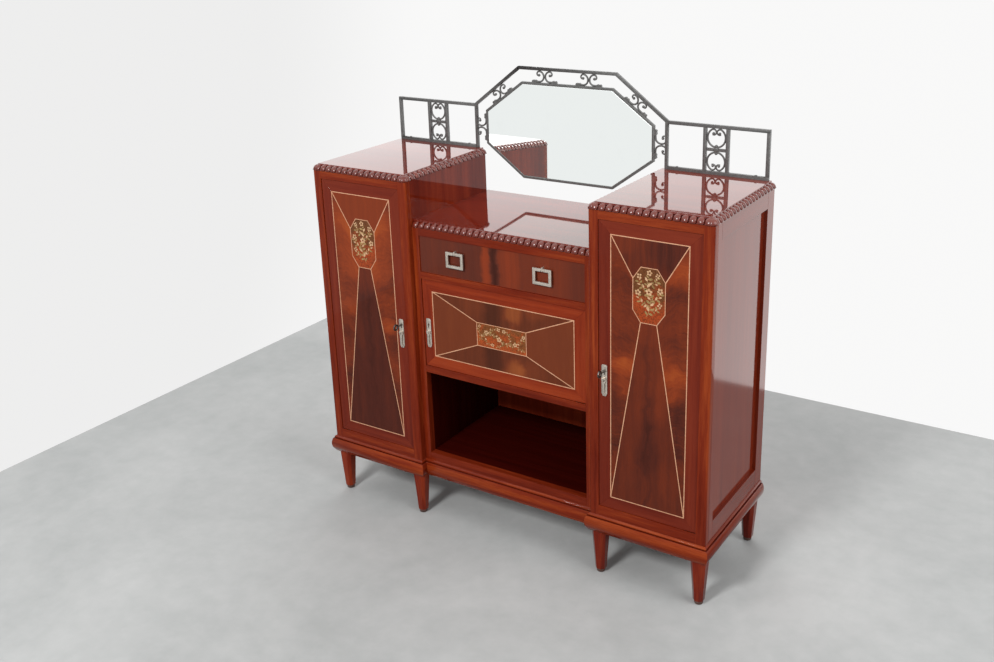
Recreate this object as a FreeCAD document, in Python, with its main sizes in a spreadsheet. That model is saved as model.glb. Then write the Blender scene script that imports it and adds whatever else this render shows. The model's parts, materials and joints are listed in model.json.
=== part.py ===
"""Break-front chiffonier: two tall cupboards, a lower centre with drawer, cupboard and open niche,
and a wrought-iron gallery that carries an octagonal mirror.

Frame: +X right, +Y to the back, +Z up, origin on the floor under the middle of the piece.
Lengths are in millimetres.  Depths are given from the front faces of the tall cupboards, and each
building block adds the shift that centres the whole piece front to back.
"""
import FreeCAD, Part
import math
import os
import re
import Sketcher
from FreeCAD import Placement, Rotation, Vector

doc = FreeCAD.newDocument("chiffonier")

# ---------------------------------------------------------------------------------------------
# Driving dimensions
# ---------------------------------------------------------------------------------------------
DIMENSIONS = {
    # carcass, overall
    "carcass_width": 1400.0,
    "carcass_depth": 440.0,
    "cupboard_width": 378.0,
    "centre_recess": 23.0,
    # plinth and legs
    "leg_height": 152.0,
    "leg_top_width": 50.0,
    "leg_foot_width": 34.0,
    "leg_chamfer": 10.0,
    "glide_radius": 15.0,
    "glide_height": 12.0,
    "plinth_height": 60.0,
    "plinth_wall": 30.0,
    "bead_reach": 3.0,
    "bead_radius": 4.0,
    "torus_head": 8.5,
    "torus_radius": 44.0,
    "torus_foot": 9.5,
    "plinth_undercut": 2.0,
    "bead_head": 2.0,
    "bead_foot": 9.0,
    "torus_start": 10.0,
    "torus_end": 11.0,
    # front frames of the tall cupboards
    "stile_width": 31.0,
    "stile_depth": 24.0,
    "stile_rounding": 6.0,
    "side_top_rail": 26.0,
    "side_bottom_rail": 33.0,
    "side_door_height": 901.0,
    # ends, backs, boards
    "end_thickness": 24.0,
    "end_stile": 50.0,
    "end_top_rail": 50.0,
    "end_bottom_rail": 59.0,
    "end_recess": 10.0,
    "end_panel_thickness": 8.0,
    "inner_side_thickness": 18.0,
    "back_thickness": 8.0,
    "back_rebate": 6.0,
    "back_inset": 2.0,
    "board_thickness": 18.0,
    "floor_drop": 2.0,
    "shelf_thickness": 16.0,
    "shelf_spacing": 300.0,
    "shelf_play": 1.0,
    "shelf_setback": 30.0,
    "peg_radius": 3.0,
    "peg_play": 0.05,
    "peg_setback": 10.0,
    "peg_bore_depth": 10.0,
    "peg_reach": 11.0,
    # tops
    "slab_thickness": 20.0,
    "slab_overhang": 5.0,
    "slab_back_overhang": 8.0,
    "nosing_radius": 27.0,
    # centre section, bottom to top
    "centre_stile": 24.0,
    "centre_bottom_rail": 28.5,
    "niche_height": 294.0,
    "niche_rail": 23.5,
    "centre_door_height": 299.0,
    "drawer_rail": 22.0,
    "drawer_height": 120.0,
    "centre_top_rail": 26.0,
    # doors
    "door_gap": 1.0,
    "door_setback": 3.0,
    "door_thickness": 22.0,
    "door_border": 38.5,
    "panel_thickness": 16.0,
    "inlay_thickness": 2.0,
    "medallion_width": 99.0,
    "medallion_height": 163.0,
    "medallion_cut_width": 24.5,
    "medallion_cut_height": 35.5,
    "medallion_level": 700.0,
    "plaque_width": 181.0,
    "plaque_height": 77.0,
    "pivot_inset": 4.0,
    "pivot_radius": 2.0,
    "pivot_length": 8.0,
    "pivot_play": 0.05,
    "leaf_length": 36.0,
    "leaf_width": 11.0,
    "leaf_thickness": 2.0,
    "leaf_setback": 2.0,
    # locks, keys and drop handles
    "backset": 18.5,
    "keyhole_drop": 3.5,
    "keyhole_radius": 3.2,
    "keyhole_slot_width": 3.4,
    "keyhole_slot_depth": 11.5,
    "lock_width": 35.0,
    "lock_depth": 12.0,
    "lock_wall": 1.5,
    "bolt_height": 12.0,
    "bolt_thickness": 7.0,
    "bolt_length": 27.0,
    "bolt_throw": 8.0,
    "bolt_play": 0.3,
    "key_shaft_radius": 2.5,
    "key_bit_reach": 8.0,
    "key_bit_width": 5.0,
    "key_bit_thickness": 3.0,
    "key_reach": 21.0,
    "key_bow_radius": 11.0,
    "key_bow_hole": 6.0,
    "key_bow_thickness": 4.0,
    "escutcheon_width": 18.0,
    "escutcheon_height": 99.0,
    "escutcheon_thickness": 2.5,
    "escutcheon_above_key": 20.0,
    "drop_below_key": 24.0,
    "drop_stand_off": 3.6,
    "drop_length": 52.0,
    "drop_width": 14.0,
    "drop_thickness": 3.0,
    "drop_lug_width": 7.0,
    "drop_side_play": 0.4,
    "drop_pin_radius": 1.0,
    "drop_pin_play": 0.05,
    "strike_thickness": 1.5,
    # drawer
    "drawer_side": 12.0,
    "drawer_side_height": 92.0,
    "drawer_bottom": 8.0,
    "drawer_back_gap": 32.0,
    "runner_play": 0.3,
    "pull_spacing": 316.0,
    "pull_width": 64.0,
    "pull_height": 51.0,
    "pull_band": 9.0,
    "pull_thickness": 5.0,
    "pull_stand_off": 9.0,
    "pull_pin_radius": 2.0,
    "pull_pin_play": 0.05,
    "post_width": 8.0,
    "post_foot": 4.0,
    "post_peak": 4.5,
    "post_play": 1.0,
    # iron gallery and mirror
    "iron_bar": 10.0,
    "gallery_inset": 25.0,
    "gallery_end": 20.0,
    "gallery_height": 150.5,
    "gallery_setback": 11.0,
    "scroll_panel_width": 62.5,
    "arch_rise": 134.5,
    "arch_cut_width": 177.0,
    "mirror_gap": 39.0,
    "mirror_margin": 11.0,
    "mirror_clearance": 61.0,
    "mirror_cut_width": 144.0,
    "mirror_cut_height": 104.5,
    "mirror_frame_width": 8.0,
    "glass_thickness": 5.0,
    "mirror_back_thickness": 3.0,
    "scroll_bar": 4.0,
    "scroll_depth": 6.0,
    "scroll_ball": 4.2,
    "scroll_curl": 7.5,
    "scroll_foot": 12.0,
    "scroll_tail": 22.0,
    "panel_cross_height": 10.0,
    "panel_collar": 8.5,
    "slant_play": 0.3,
    "top_scroll_place": 81.0,
    "side_scroll_drop": 58.0,
    "slant_scroll_place": 84.0,
    "gallery_screw_radius": 2.5,
    "gallery_screw_length": 12.0,
}

sheet = doc.addObject("Spreadsheet::Sheet", "sizes")
for row, (alias, value) in enumerate(DIMENSIONS.items(), start=1):
    sheet.set("A%d" % row, alias)
    sheet.set("B%d" % row, repr(value))
    sheet.setAlias("B%d" % row, alias)
doc.recompute()


def bind(expression):
    """Write a plain-word expression as one on the sheet's cells."""
    text = re.sub(r"[a-z][a-z_]+", lambda m: "sizes." + m.group() if m.group() in DIMENSIONS else m.group(),
                  str(expression))
    return text


def value(expression):
    """Value of an expression on the sheet's cells, in mm."""
    result = sheet.evalExpression(bind(expression))
    return float(result.Value) if hasattr(result, "Value") else float(result)


# ---------------------------------------------------------------------------------------------
# Levels and planes that several pieces share
# ---------------------------------------------------------------------------------------------
HALF = "(carcass_width / 2)"
INNER = "(carcass_width / 2 - cupboard_width)"
PLINTH_TOP = "(leg_height + plinth_height)"
SIDE_SILL = "(leg_height + plinth_height + side_bottom_rail)"
SIDE_HEAD = "(leg_height + plinth_height + side_bottom_rail + side_door_height)"
SIDE_TOP = "(leg_height + plinth_height + side_bottom_rail + side_door_height + side_top_rail)"
SLAB_TOP = "(%s + slab_thickness)" % SIDE_TOP
NICHE_FLOOR = "(leg_height + plinth_height + centre_bottom_rail)"
NICHE_HEAD = "(%s + niche_height)" % NICHE_FLOOR
CUPBOARD_SILL = "(%s + niche_rail)" % NICHE_HEAD
CUPBOARD_HEAD = "(%s + centre_door_height)" % CUPBOARD_SILL
DRAWER_SILL = "(%s + drawer_rail)" % CUPBOARD_HEAD
DRAWER_HEAD = "(%s + drawer_height)" % DRAWER_SILL
CENTRE_TOP = "(%s + centre_top_rail)" % DRAWER_HEAD
CENTRE_SLAB_TOP = "(%s + slab_thickness)" % CENTRE_TOP
CENTRE_OPENING = "(carcass_width / 2 - cupboard_width - centre_stile)"
BACK_FACE = "(carcass_depth - back_inset - back_thickness)"
SLAB_BACK = "(carcass_depth + slab_back_overhang)"
IRON_FRONT = "(carcass_depth + slab_back_overhang - gallery_setback)"
IRON_MIDDLE = "(%s + iron_bar / 2)" % IRON_FRONT
IRON_BACK = "(%s + iron_bar)" % IRON_FRONT
KEY_FRONT = "(door_setback - escutcheon_thickness - key_reach - key_bow_hole - key_bow_radius)"
CENTRING = "(-(%s + %s) / 2)" % (SLAB_BACK, KEY_FRONT)
BEYOND = "(2 * torus_radius)"

parts = []


def keep(label, obj):
    """Name a finished piece and list it for export."""
    obj.Label = label
    parts.append(obj)
    return obj


# ---------------------------------------------------------------------------------------------
# Building blocks
# ---------------------------------------------------------------------------------------------
def depth(expression):
    """A depth behind the front faces, as a y of the centred model."""
    return "(%s + %s)" % (CENTRING, expression)


def box(name, x, y, z):
    """Block between the limits x, y and z, each a pair of expressions."""
    block = doc.addObject("Part::Box", name)
    for size, axis, (low, high) in (("Length", "x", x), ("Width", "y", y), ("Height", "z", z)):
        block.setExpression(size, bind("(%s) - (%s)" % (high, low)))
        block.setExpression("Placement.Base." + axis, bind(depth(low) if axis == "y" else low))
    return block


TURNS = {"x": Rotation(Vector(0, 1, 0), 90), "y": Rotation(Vector(1, 0, 0), -90), "z": Rotation()}


def cylinder(name, axis, radius, x, y, z, length):
    """Cylinder from the point (x, y, z) along +axis."""
    rod = doc.addObject("Part::Cylinder", name)
    rod.Placement = Placement(Vector(), TURNS[axis])
    rod.setExpression("Radius", bind(radius))
    rod.setExpression("Height", bind(length))
    for direction, place in (("x", x), ("y", depth(y)), ("z", z)):
        rod.setExpression("Placement.Base." + direction, bind(place))
    return rod


def cut(name, base, *tools):
    """Base with the tools taken away."""
    for index, tool in enumerate(tools):
        result = doc.addObject("Part::Cut", "%s_cut%d" % (name, index))
        result.Base = base
        result.Tool = tool
        base = result
    return base


def fuse(name, *shapes):
    """One solid from touching shapes."""
    result = doc.addObject("Part::MultiFuse", name)
    result.Shapes = list(shapes)
    result.Refine = True
    return result


def group(name, *shapes):
    """Separate solids that share one node."""
    result = doc.addObject("Part::Compound", name)
    result.Links = list(shapes)
    return result


def mirrored(name, source):
    """The same piece on the other side of the middle plane."""
    result = doc.addObject("Part::Mirroring", name)
    result.Source = source
    result.Base = Vector(0, 0, 0)
    result.Normal = Vector(1, 0, 0)
    return result


def both_hands(name, source):
    """Keep a right-hand piece and its left-hand twin."""
    keep("right_" + name, source)
    keep("left_" + name, mirrored("left_" + name, source))
    return source


def origin_plane(body, role):
    """One of the body's own origin planes."""
    return [feature for feature in body.Origin.OriginFeatures if feature.Role == role][0]


def outline(body, name, plane, corners, arcs=None):
    """Closed sketch through corners (pairs of expressions).

    arcs maps the index of a corner to (radius, side): the edge that leaves it is an arc that
    bulges to the left (side 1) or right (side -1) of the way the outline runs.
    """
    arcs = arcs or {}
    sketch = body.newObject("Sketcher::SketchObject", name)
    sketch.AttachmentSupport = [(origin_plane(body, plane + "_Plane"), "")]
    sketch.MapMode = "FlatFace"
    points = [Vector(value(u), value(v), 0) for u, v in corners]
    count = len(points)
    reversed_arcs = set()
    for index in range(count):
        start, end = points[index], points[(index + 1) % count]
        if index not in arcs:
            sketch.addGeometry(Part.LineSegment(start, end), False)
            continue
        radius, side = value(arcs[index][0]), arcs[index][1]
        chord = end - start
        left = Vector(-chord.y, chord.x, 0).normalize()
        rise = radius - math.sqrt(radius ** 2 - (chord.Length / 2) ** 2)
        middle = (start + end) * 0.5 + left * (side * rise)
        arc = Part.Arc(start, middle, end)
        if (sketch_arc_start(arc) - start).Length > 1e-6:
            reversed_arcs.add(index)
        sketch.addGeometry(arc, False)
    for index in range(count):
        following = (index + 1) % count
        leaving = 1 if index in reversed_arcs else 2
        arriving = 2 if following in reversed_arcs else 1
        sketch.addConstraint(Sketcher.Constraint("Coincident", index, leaving, following, arriving))
    for index, (u, v) in enumerate(corners):
        vertex = 2 if index in reversed_arcs else 1
        for kind, place in (("DistanceX", u), ("DistanceY", v)):
            number = sketch.addConstraint(Sketcher.Constraint(kind, -1, 1, index, vertex, value(place)))
            sketch.setExpression("Constraints[%d]" % number, bind(place))
    for index, (radius, side) in arcs.items():
        number = sketch.addConstraint(Sketcher.Constraint("Radius", index, value(radius)))
        sketch.setExpression("Constraints[%d]" % number, bind(radius))
    return sketch


def sketch_arc_start(arc):
    """Start of an arc as a sketch stores it, counter-clockwise about +Z."""
    circle_arc = arc.toShape().Curve
    centre = circle_arc.Center
    low, high = arc.StartPoint, arc.EndPoint
    middle = arc.value((arc.FirstParameter + arc.LastParameter) / 2)
    turn = (low - centre).cross(middle - centre).z
    return low if turn > 0 else high


def shift_sketch(sketch, distance):
    """Move a sketch along its normal by an expression."""
    sketch.setExpression("AttachmentOffset.Base.z", bind(distance))


def slice_solid(name, plane, corners, low, high, arcs=None):
    """Body padded from an outline in the XY, XZ or YZ plane, between two levels of the third axis."""
    body = doc.addObject("PartDesign::Body", name)
    backwards = plane == "XZ"
    if plane == "YZ":
        corners = [(depth(y), z) for y, z in corners]
    sketch = outline(body, name + "_outline", plane, corners, arcs)
    shift_sketch(sketch, "-(%s)" % depth(low) if backwards else low)
    pad = body.newObject("PartDesign::Pad", name + "_pad")
    pad.Profile = sketch
    pad.Reversed = backwards
    pad.setExpression("Length", bind("(%s) - (%s)" % (high, low)))
    sketch.Visibility = False
    return body


def rounded(name, source, radius, picks):
    """Fillet the straight edges of source that run through the given points."""
    doc.recompute()
    size = value(radius)
    numbers = []
    for number, edge in enumerate(source.Shape.Edges, start=1):
        middle = edge.valueAt((edge.FirstParameter + edge.LastParameter) / 2)
        for pick in picks:
            if all(goal is None or abs(goal - place) < 0.01 for goal, place in zip(pick, middle)):
                numbers.append((number, size, size))
    result = doc.addObject("Part::Fillet", name)
    result.Base = source
    result.Edges = numbers
    return result


def octagon(half_width, half_height, cut_width, cut_height, centre_x, centre_z, inset="0"):
    """Corners of an upright octagon, drawn in by an even inset, anticlockwise from lower right."""
    slant = "sqrt((%s)^2 + (%s)^2)" % (cut_width, cut_height)
    side = "(%s - %s)" % (half_width, inset)
    head = "(%s - %s)" % (half_height, inset)
    shoulder = "(%s - %s + %s * (%s - %s) / %s)" % (half_height, cut_height, inset, cut_height, slant,
                                                    cut_width)
    flat = "(%s - %s + %s * (%s - %s) / %s)" % (half_width, cut_width, inset, cut_width, slant, cut_height)
    ring = [(side, "-" + shoulder), (side, shoulder), (flat, head), ("-" + flat, head),
            ("-" + side, shoulder), ("-" + side, "-" + shoulder), ("-" + flat, "-" + head),
            (flat, "-" + head)]
    return [("%s + (%s)" % (centre_x, u), "%s + (%s)" % (centre_z, v)) for u, v in ring]


# ---------------------------------------------------------------------------------------------
# Legs and glides
# ---------------------------------------------------------------------------------------------
def leg(name, centre_x, centre_y):
    """Tapered leg of eight sides, from its glide to the plinth."""
    body = doc.addObject("PartDesign::Body", name)
    levels = (("foot", "leg_foot_width", "glide_height"), ("head", "leg_top_width", "leg_height"))
    sketches = []
    for end, width, level in levels:
        half = "(%s / 2)" % width
        corners = octagon(half, half, "leg_chamfer", "leg_chamfer", centre_x, depth(centre_y))
        sketch = outline(body, "%s_%s" % (name, end), "XY", corners)
        shift_sketch(sketch, level)
        sketches.append(sketch)
    loft = body.newObject("PartDesign::AdditiveLoft", name + "_taper")
    loft.Profile = sketches[0]
    loft.Sections = [sketches[1]]
    loft.Ruled = True
    return body


def legs_and_glides():
    """Four legs under each tall cupboard, each on a round glide."""
    columns = (INNER + " + leg_top_width / 2", HALF + " - leg_top_width / 2")
    rows = ("leg_top_width / 2", "carcass_depth - leg_top_width / 2")
    legs = []
    glides = []
    for index, (x, y) in enumerate((x, y) for x in columns for y in rows):
        legs.append(leg("leg%d" % index, x, y))
        disc = cylinder("glide%d" % index, "z", "glide_radius", x, y, "0", "glide_height")
        glides.append(disc)
    right_legs = group("right_legs", *legs)
    keep("legs", group("legs", right_legs, mirrored("left_legs", right_legs)))
    right_glides = group("right_glides", *glides)
    keep("foot_glides", group("foot_glides", right_glides, mirrored("left_glides", right_glides)))


# ---------------------------------------------------------------------------------------------
# Plinths
# ---------------------------------------------------------------------------------------------
def moulding(face, outward, start=None):
    """Bead over a bold torus, from the plinth's top edge down to its foot.

    face is where the plain wall stands and outward is + or -.
    """
    steps = (("0", PLINTH_TOP), ("bead_reach", PLINTH_TOP + " - bead_head"),
             ("bead_reach", PLINTH_TOP + " - bead_foot"), ("torus_head", PLINTH_TOP + " - torus_start"),
             ("torus_foot", "leg_height + torus_end"), ("plinth_undercut", "leg_height"))
    return [("%s %s %s" % (face, outward, reach), level) for reach, level in steps]


def plinths():
    """Moulded plinth under each cupboard, and a recessed one coped between them."""
    right_side = moulding(HALF, "+")
    left_side = moulding(INNER, "-")
    front = moulding("0", "-")
    side_rolls = {1: ("bead_radius", 1), 3: ("torus_radius", 1),
                  7: ("torus_radius", 1), 9: ("bead_radius", 1)}
    front_rolls = {3: ("bead_radius", -1), 5: ("torus_radius", -1)}
    across = slice_solid("plinth_across", "XZ", right_side + left_side[::-1], "-" + BEYOND, "carcass_depth",
                         side_rolls)
    along = slice_solid("plinth_along", "YZ", [("carcass_depth", "leg_height"), ("carcass_depth", PLINTH_TOP)]
                        + front, INNER + " - " + BEYOND, HALF + " + " + BEYOND, front_rolls)
    block = doc.addObject("Part::Common", "plinth_block")
    block.Base = across
    block.Tool = along
    cavity = box("plinth_cavity", (INNER + " + plinth_wall", HALF + " - plinth_wall"),
                 ("plinth_wall", "carcass_depth - plinth_wall"), ("leg_height - 1", PLINTH_TOP + " + 1"))
    return_end = box("plinth_return_end", (INNER + " - " + BEYOND, INNER),
                     ("centre_recess", "carcass_depth + 1"), ("leg_height - 1", PLINTH_TOP + " + 1"))
    right = both_hands("plinth", cut("plinth", block, cavity, return_end))
    centre_front = moulding("centre_recess", "-")
    centre = slice_solid("centre_plinth_bar", "YZ",
                         [("centre_recess + plinth_wall", "leg_height"),
                          ("centre_recess + plinth_wall", PLINTH_TOP)] + centre_front, "-" + INNER, INNER,
                         front_rolls)
    keep("centre_plinth", cut("centre_plinth", centre, right, mirrored("plinth_twin", right)))


# ---------------------------------------------------------------------------------------------
# Carcass of the tall cupboards
# ---------------------------------------------------------------------------------------------
PEG_ROWS = ("shelf_setback + peg_setback", "%s - peg_setback" % BACK_FACE)
INSIDE_LEFT = "(%s + inner_side_thickness)" % INNER
INSIDE_RIGHT = "(%s - end_thickness)" % HALF
BOARD_TOP = "(%s - floor_drop)" % SIDE_SILL


def peg_tools(radius, reach_in, reach_out):
    """Shelf pegs, or their bores, in both walls of the right cupboard."""
    rods = []
    for shelf in (1, 2):
        level = "%s + %d * shelf_spacing - peg_radius" % (BOARD_TOP, shelf)
        for row, place in enumerate(PEG_ROWS):
            for wall, (start, length) in enumerate((
                    ("%s - %s" % (INSIDE_LEFT, reach_in), "%s + %s" % (reach_in, reach_out)),
                    ("%s - %s" % (INSIDE_RIGHT, reach_out), "%s + %s" % (reach_in, reach_out)))):
                rods.append(cylinder("peg", "x", radius, start, place, level, length))
    return rods


def cupboard_carcass():
    """Front frame, framed end, plain inner side, back, floor, shelves and pegs."""
    outer_edge = (HALF + " - stile_width", HALF)
    inner_edge = (INNER, INNER + " + stile_width")
    frame_depth = ("0", "stile_depth")
    height = (PLINTH_TOP, SIDE_TOP)
    front_z = (value(PLINTH_TOP) + value(SIDE_TOP)) / 2
    outer_stile = rounded("outer_stile", box("outer_stile_blank", outer_edge, frame_depth, height),
                          "stile_rounding", [(value(HALF), value(depth("0")), front_z)])
    inner_stile = rounded("inner_stile", box("inner_stile_blank", inner_edge, frame_depth, height),
                          "stile_rounding", [(value(INNER), value(depth("0")), front_z)])
    between = (INNER + " + stile_width", HALF + " - stile_width")
    sill = box("sill_rail", between, frame_depth, (PLINTH_TOP, SIDE_SILL))
    head = box("head_rail", between, frame_depth, (SIDE_HEAD, SIDE_TOP))
    leaf_x = (HALF + " - stile_width - leaf_length", HALF + " - stile_width")
    sill = cut("sill_rail", sill, leaf_plate("sill_mortise", leaf_x, "0", SIDE_SILL, "-"))
    head = cut("head_rail", head, leaf_plate("head_mortise", leaf_x, "0", SIDE_HEAD, "+"))
    both_hands("face_frame", group("face_frame", outer_stile, inner_stile, sill, head))

    bores = peg_tools("(peg_radius + peg_play)", "peg_bore_depth", "0")
    end_blank = box("end_blank", (INSIDE_RIGHT, HALF), ("stile_depth", "carcass_depth"), height)
    end_window = box("end_window", (INSIDE_RIGHT + " - 1", HALF + " + 1"),
                     ("end_stile", "carcass_depth - end_stile"),
                     (PLINTH_TOP + " + end_bottom_rail", SIDE_TOP + " - end_top_rail"))
    pegs_right = group("bores_right", *[rod for number, rod in enumerate(bores) if number % 2 == 1])
    pegs_left = group("bores_left", *[rod for number, rod in enumerate(bores) if number % 2 == 0])
    back_rebate = box("back_rebate_cut", (INSIDE_LEFT + " - back_rebate", INSIDE_RIGHT + " + back_rebate"),
                      (BACK_FACE, "carcass_depth + 1"), (PLINTH_TOP, SIDE_TOP + " + 1"))
    both_hands("end_frame", cut("end_frame", end_blank, end_window, pegs_right, back_rebate))
    end_panel = box("end_panel", (HALF + " - end_recess - end_panel_thickness", HALF + " - end_recess"),
                    ("end_stile", "carcass_depth - end_stile"),
                    (PLINTH_TOP + " + end_bottom_rail", SIDE_TOP + " - end_top_rail"))
    keep("end_panels", group("end_panels", end_panel, mirrored("left_end_panel", end_panel)))
    inner_blank = box("inner_side_blank", (INNER, INSIDE_LEFT), ("stile_depth", "carcass_depth"), height)
    inner_side = cut("inner_side", inner_blank, pegs_left, back_rebate)
    keep("inner_sides", group("inner_sides", inner_side, mirrored("left_inner_side", inner_side)))

    floor = box("floor_board", (INSIDE_LEFT, INSIDE_RIGHT), ("stile_depth", BACK_FACE),
                (BOARD_TOP + " - board_thickness", BOARD_TOP))
    keep("floor_boards", group("floor_boards", floor, mirrored("left_floor", floor)))
    shelves = []
    for shelf in (1, 2):
        level = "%s + %d * shelf_spacing" % (BOARD_TOP, shelf)
        shelves.append(box("shelf%d" % shelf,
                           (INSIDE_LEFT + " + shelf_play", INSIDE_RIGHT + " - shelf_play"),
                           ("shelf_setback", BACK_FACE + " - shelf_play"),
                           (level, level + " + shelf_thickness")))
    right_shelves = group("right_shelves", *shelves)
    keep("shelves", group("shelves", right_shelves, mirrored("left_shelves", right_shelves)))
    right_pegs = group("right_pegs", *peg_tools("peg_radius", "peg_bore_depth", "peg_reach"))
    keep("shelf_pegs", group("shelf_pegs", right_pegs, mirrored("left_pegs", right_pegs)))


def back_panels():
    """Thin backs let into the cupboards, and one between the centre's sides."""
    tall = box("tall_back", (INSIDE_LEFT + " - back_rebate", INSIDE_RIGHT + " + back_rebate"),
               (BACK_FACE, "carcass_depth - back_inset"), (PLINTH_TOP, SIDE_TOP))
    low = box("low_back", ("-" + CENTRE_OPENING, CENTRE_OPENING),
              (BACK_FACE, "carcass_depth - back_inset"), (PLINTH_TOP, CENTRE_TOP))
    keep("back_panels", group("back_panels", tall, mirrored("left_tall_back", tall), low))


# ---------------------------------------------------------------------------------------------
# Tops with a thumb-moulded edge
# ---------------------------------------------------------------------------------------------
THUMB = "(sqrt(nosing_radius^2 - (nosing_radius - slab_thickness)^2))"


def tops():
    """Slabs over the tall cupboards, rounded on three edges, and one over the centre."""
    right_edge = HALF + " + slab_overhang"
    left_edge = INNER + " - slab_overhang"
    across = slice_solid("slab_across", "XZ",
                         [(left_edge, SIDE_TOP), (right_edge, SIDE_TOP),
                          (right_edge + " - " + THUMB, SLAB_TOP), (left_edge + " + " + THUMB, SLAB_TOP)],
                         "-slab_overhang", SLAB_BACK,
                         {1: ("nosing_radius", -1), 3: ("nosing_radius", -1)})
    along = slice_solid("slab_along", "YZ",
                        [(SLAB_BACK, SIDE_TOP), (SLAB_BACK, SLAB_TOP),
                         ("-slab_overhang + " + THUMB, SLAB_TOP), ("-slab_overhang", SIDE_TOP)],
                        left_edge, right_edge, {2: ("nosing_radius", 1)})
    slab = doc.addObject("Part::Common", "slab")
    slab.Base = across
    slab.Tool = along
    screws = gallery_screw_places()
    bores = [cylinder("slab_bore%d" % number, "z", "gallery_screw_radius", x, IRON_MIDDLE,
                      SLAB_TOP + " - gallery_screw_length", "gallery_screw_length + 1")
             for number, x in enumerate(screws)]
    both_hands("top", cut("tall_top", slab, *bores))
    keep("centre_top", slice_solid("centre_top", "YZ",
                                   [(SLAB_BACK, CENTRE_TOP), (SLAB_BACK, CENTRE_SLAB_TOP),
                                    ("centre_recess - slab_overhang + " + THUMB, CENTRE_SLAB_TOP),
                                    ("centre_recess - slab_overhang", CENTRE_TOP)],
                                   "-" + INNER, INNER, {2: ("nosing_radius", 1)}))


# ---------------------------------------------------------------------------------------------
# Centre section
# ---------------------------------------------------------------------------------------------
def centre_section():
    """Front frame, sides and boards between the tall cupboards."""
    frame_depth = ("centre_recess", "centre_recess + stile_depth")
    height = (PLINTH_TOP, CENTRE_TOP)
    stile = box("centre_right_stile", (CENTRE_OPENING, INNER), frame_depth, height)
    rails = [(PLINTH_TOP, NICHE_FLOOR), (NICHE_HEAD, CUPBOARD_SILL), (CUPBOARD_HEAD, DRAWER_SILL),
             (DRAWER_HEAD, CENTRE_TOP)]
    bars = [box("centre_rail%d" % number, ("-" + CENTRE_OPENING, CENTRE_OPENING), frame_depth, levels)
            for number, levels in enumerate(rails)]
    leaf_x = (CENTRE_OPENING + " - leaf_length", CENTRE_OPENING)
    bars[1] = cut("niche_rail", bars[1],
                  leaf_plate("niche_mortise", leaf_x, "centre_recess", CUPBOARD_SILL, "-"))
    bars[2] = cut("drawer_rail", bars[2],
                  leaf_plate("drawer_mortise", leaf_x, "centre_recess", CUPBOARD_HEAD, "+"))
    keep("centre_face_frame", group("centre_face_frame", stile, mirrored("centre_left_stile", stile), *bars))

    side = box("centre_right_side", (CENTRE_OPENING, INNER),
               ("centre_recess + stile_depth", "carcass_depth"), height)
    left_side = mirrored("centre_left_side_blank", side)
    keep("centre_sides", group("centre_sides", side,
                               cut("centre_left_side", left_side, *centre_strike_tools())))
    boards = []
    for number, top in enumerate((NICHE_FLOOR, CUPBOARD_SILL + " - floor_drop", DRAWER_SILL)):
        boards.append(box("centre_board%d" % number, ("-" + CENTRE_OPENING, CENTRE_OPENING),
                          ("centre_recess + stile_depth", BACK_FACE), (top + " - board_thickness", top)))
    keep("centre_boards", group("centre_boards", *boards))


# ---------------------------------------------------------------------------------------------
# Doors, with their locks, keys and drop handles
# ---------------------------------------------------------------------------------------------
def leaf_plate(name, across, face, level, way):
    """Plate of a pivot hinge, let into a rail above (+) or below (-) the given level."""
    limits = (level, level + " + leaf_thickness") if way == "+" else (level + " - leaf_thickness", level)
    return box(name, across, (face + " + leaf_setback", face + " + leaf_setback + leaf_width"), limits)


class DoorPlan:
    """Where one door sits.  Every door here hangs on its right side, seen from the front."""

    def __init__(self, name, left, right, sill, head, face):
        self.name = name
        self.left = "(%s + door_gap)" % left
        self.right = "(%s - door_gap)" % right
        self.opening_left = left
        self.opening_right = right
        self.sill = "(%s)" % sill
        self.head = "(%s)" % head
        self.bottom = "(%s + door_gap)" % sill
        self.top = "(%s - door_gap)" % head
        self.wall = "(%s)" % face
        self.face = "(%s + door_setback)" % face
        self.back = "(%s + door_setback + door_thickness)" % face
        self.pivot_x = "(%s - door_gap - pivot_inset)" % right
        self.pivot_y = "(%s + door_setback + pivot_inset)" % face
        self.key_x = "(%s + door_gap + backset)" % left
        self.key_z = "((%s + %s) / 2 - keyhole_drop)" % (sill, head)
        self.plate_face = "(%s - escutcheon_thickness)" % self.face
        self.drop_y = "(%s - escutcheon_thickness - drop_stand_off)" % self.face
        self.drop_z = "(%s - drop_below_key)" % self.key_z
        self.lock_left = "(%s + 1)" % self.left
        self.lock_bottom = "(%s - keyhole_slot_depth - 2.5)" % self.key_z
        self.bolt_bottom = "(%s + keyhole_slot_depth + 1)" % self.key_z
        self.lock_top = "(%s + bolt_height + 3)" % self.bolt_bottom


SIDE_DOOR = DoorPlan("side", INNER + " + stile_width", HALF + " - stile_width", SIDE_SILL, SIDE_HEAD, "0")
CENTRE_DOOR = DoorPlan("centre", "-" + CENTRE_OPENING, CENTRE_OPENING, CUPBOARD_SILL, CUPBOARD_HEAD,
                       "centre_recess")


def keyhole(plan, low, high):
    """Keyhole-shaped tool through the door from low to high in y."""
    name = plan.name + "_keyhole"
    length = "(%s) - (%s)" % (high, low)
    eye = cylinder(name + "_eye", "y", "keyhole_radius", plan.key_x, low, plan.key_z, length)
    slot = box(name + "_slot",
               (plan.key_x + " - keyhole_slot_width / 2", plan.key_x + " + keyhole_slot_width / 2"),
               (low, high), (plan.key_z + " - keyhole_slot_depth", plan.key_z))
    return fuse(name, eye, slot)


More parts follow.
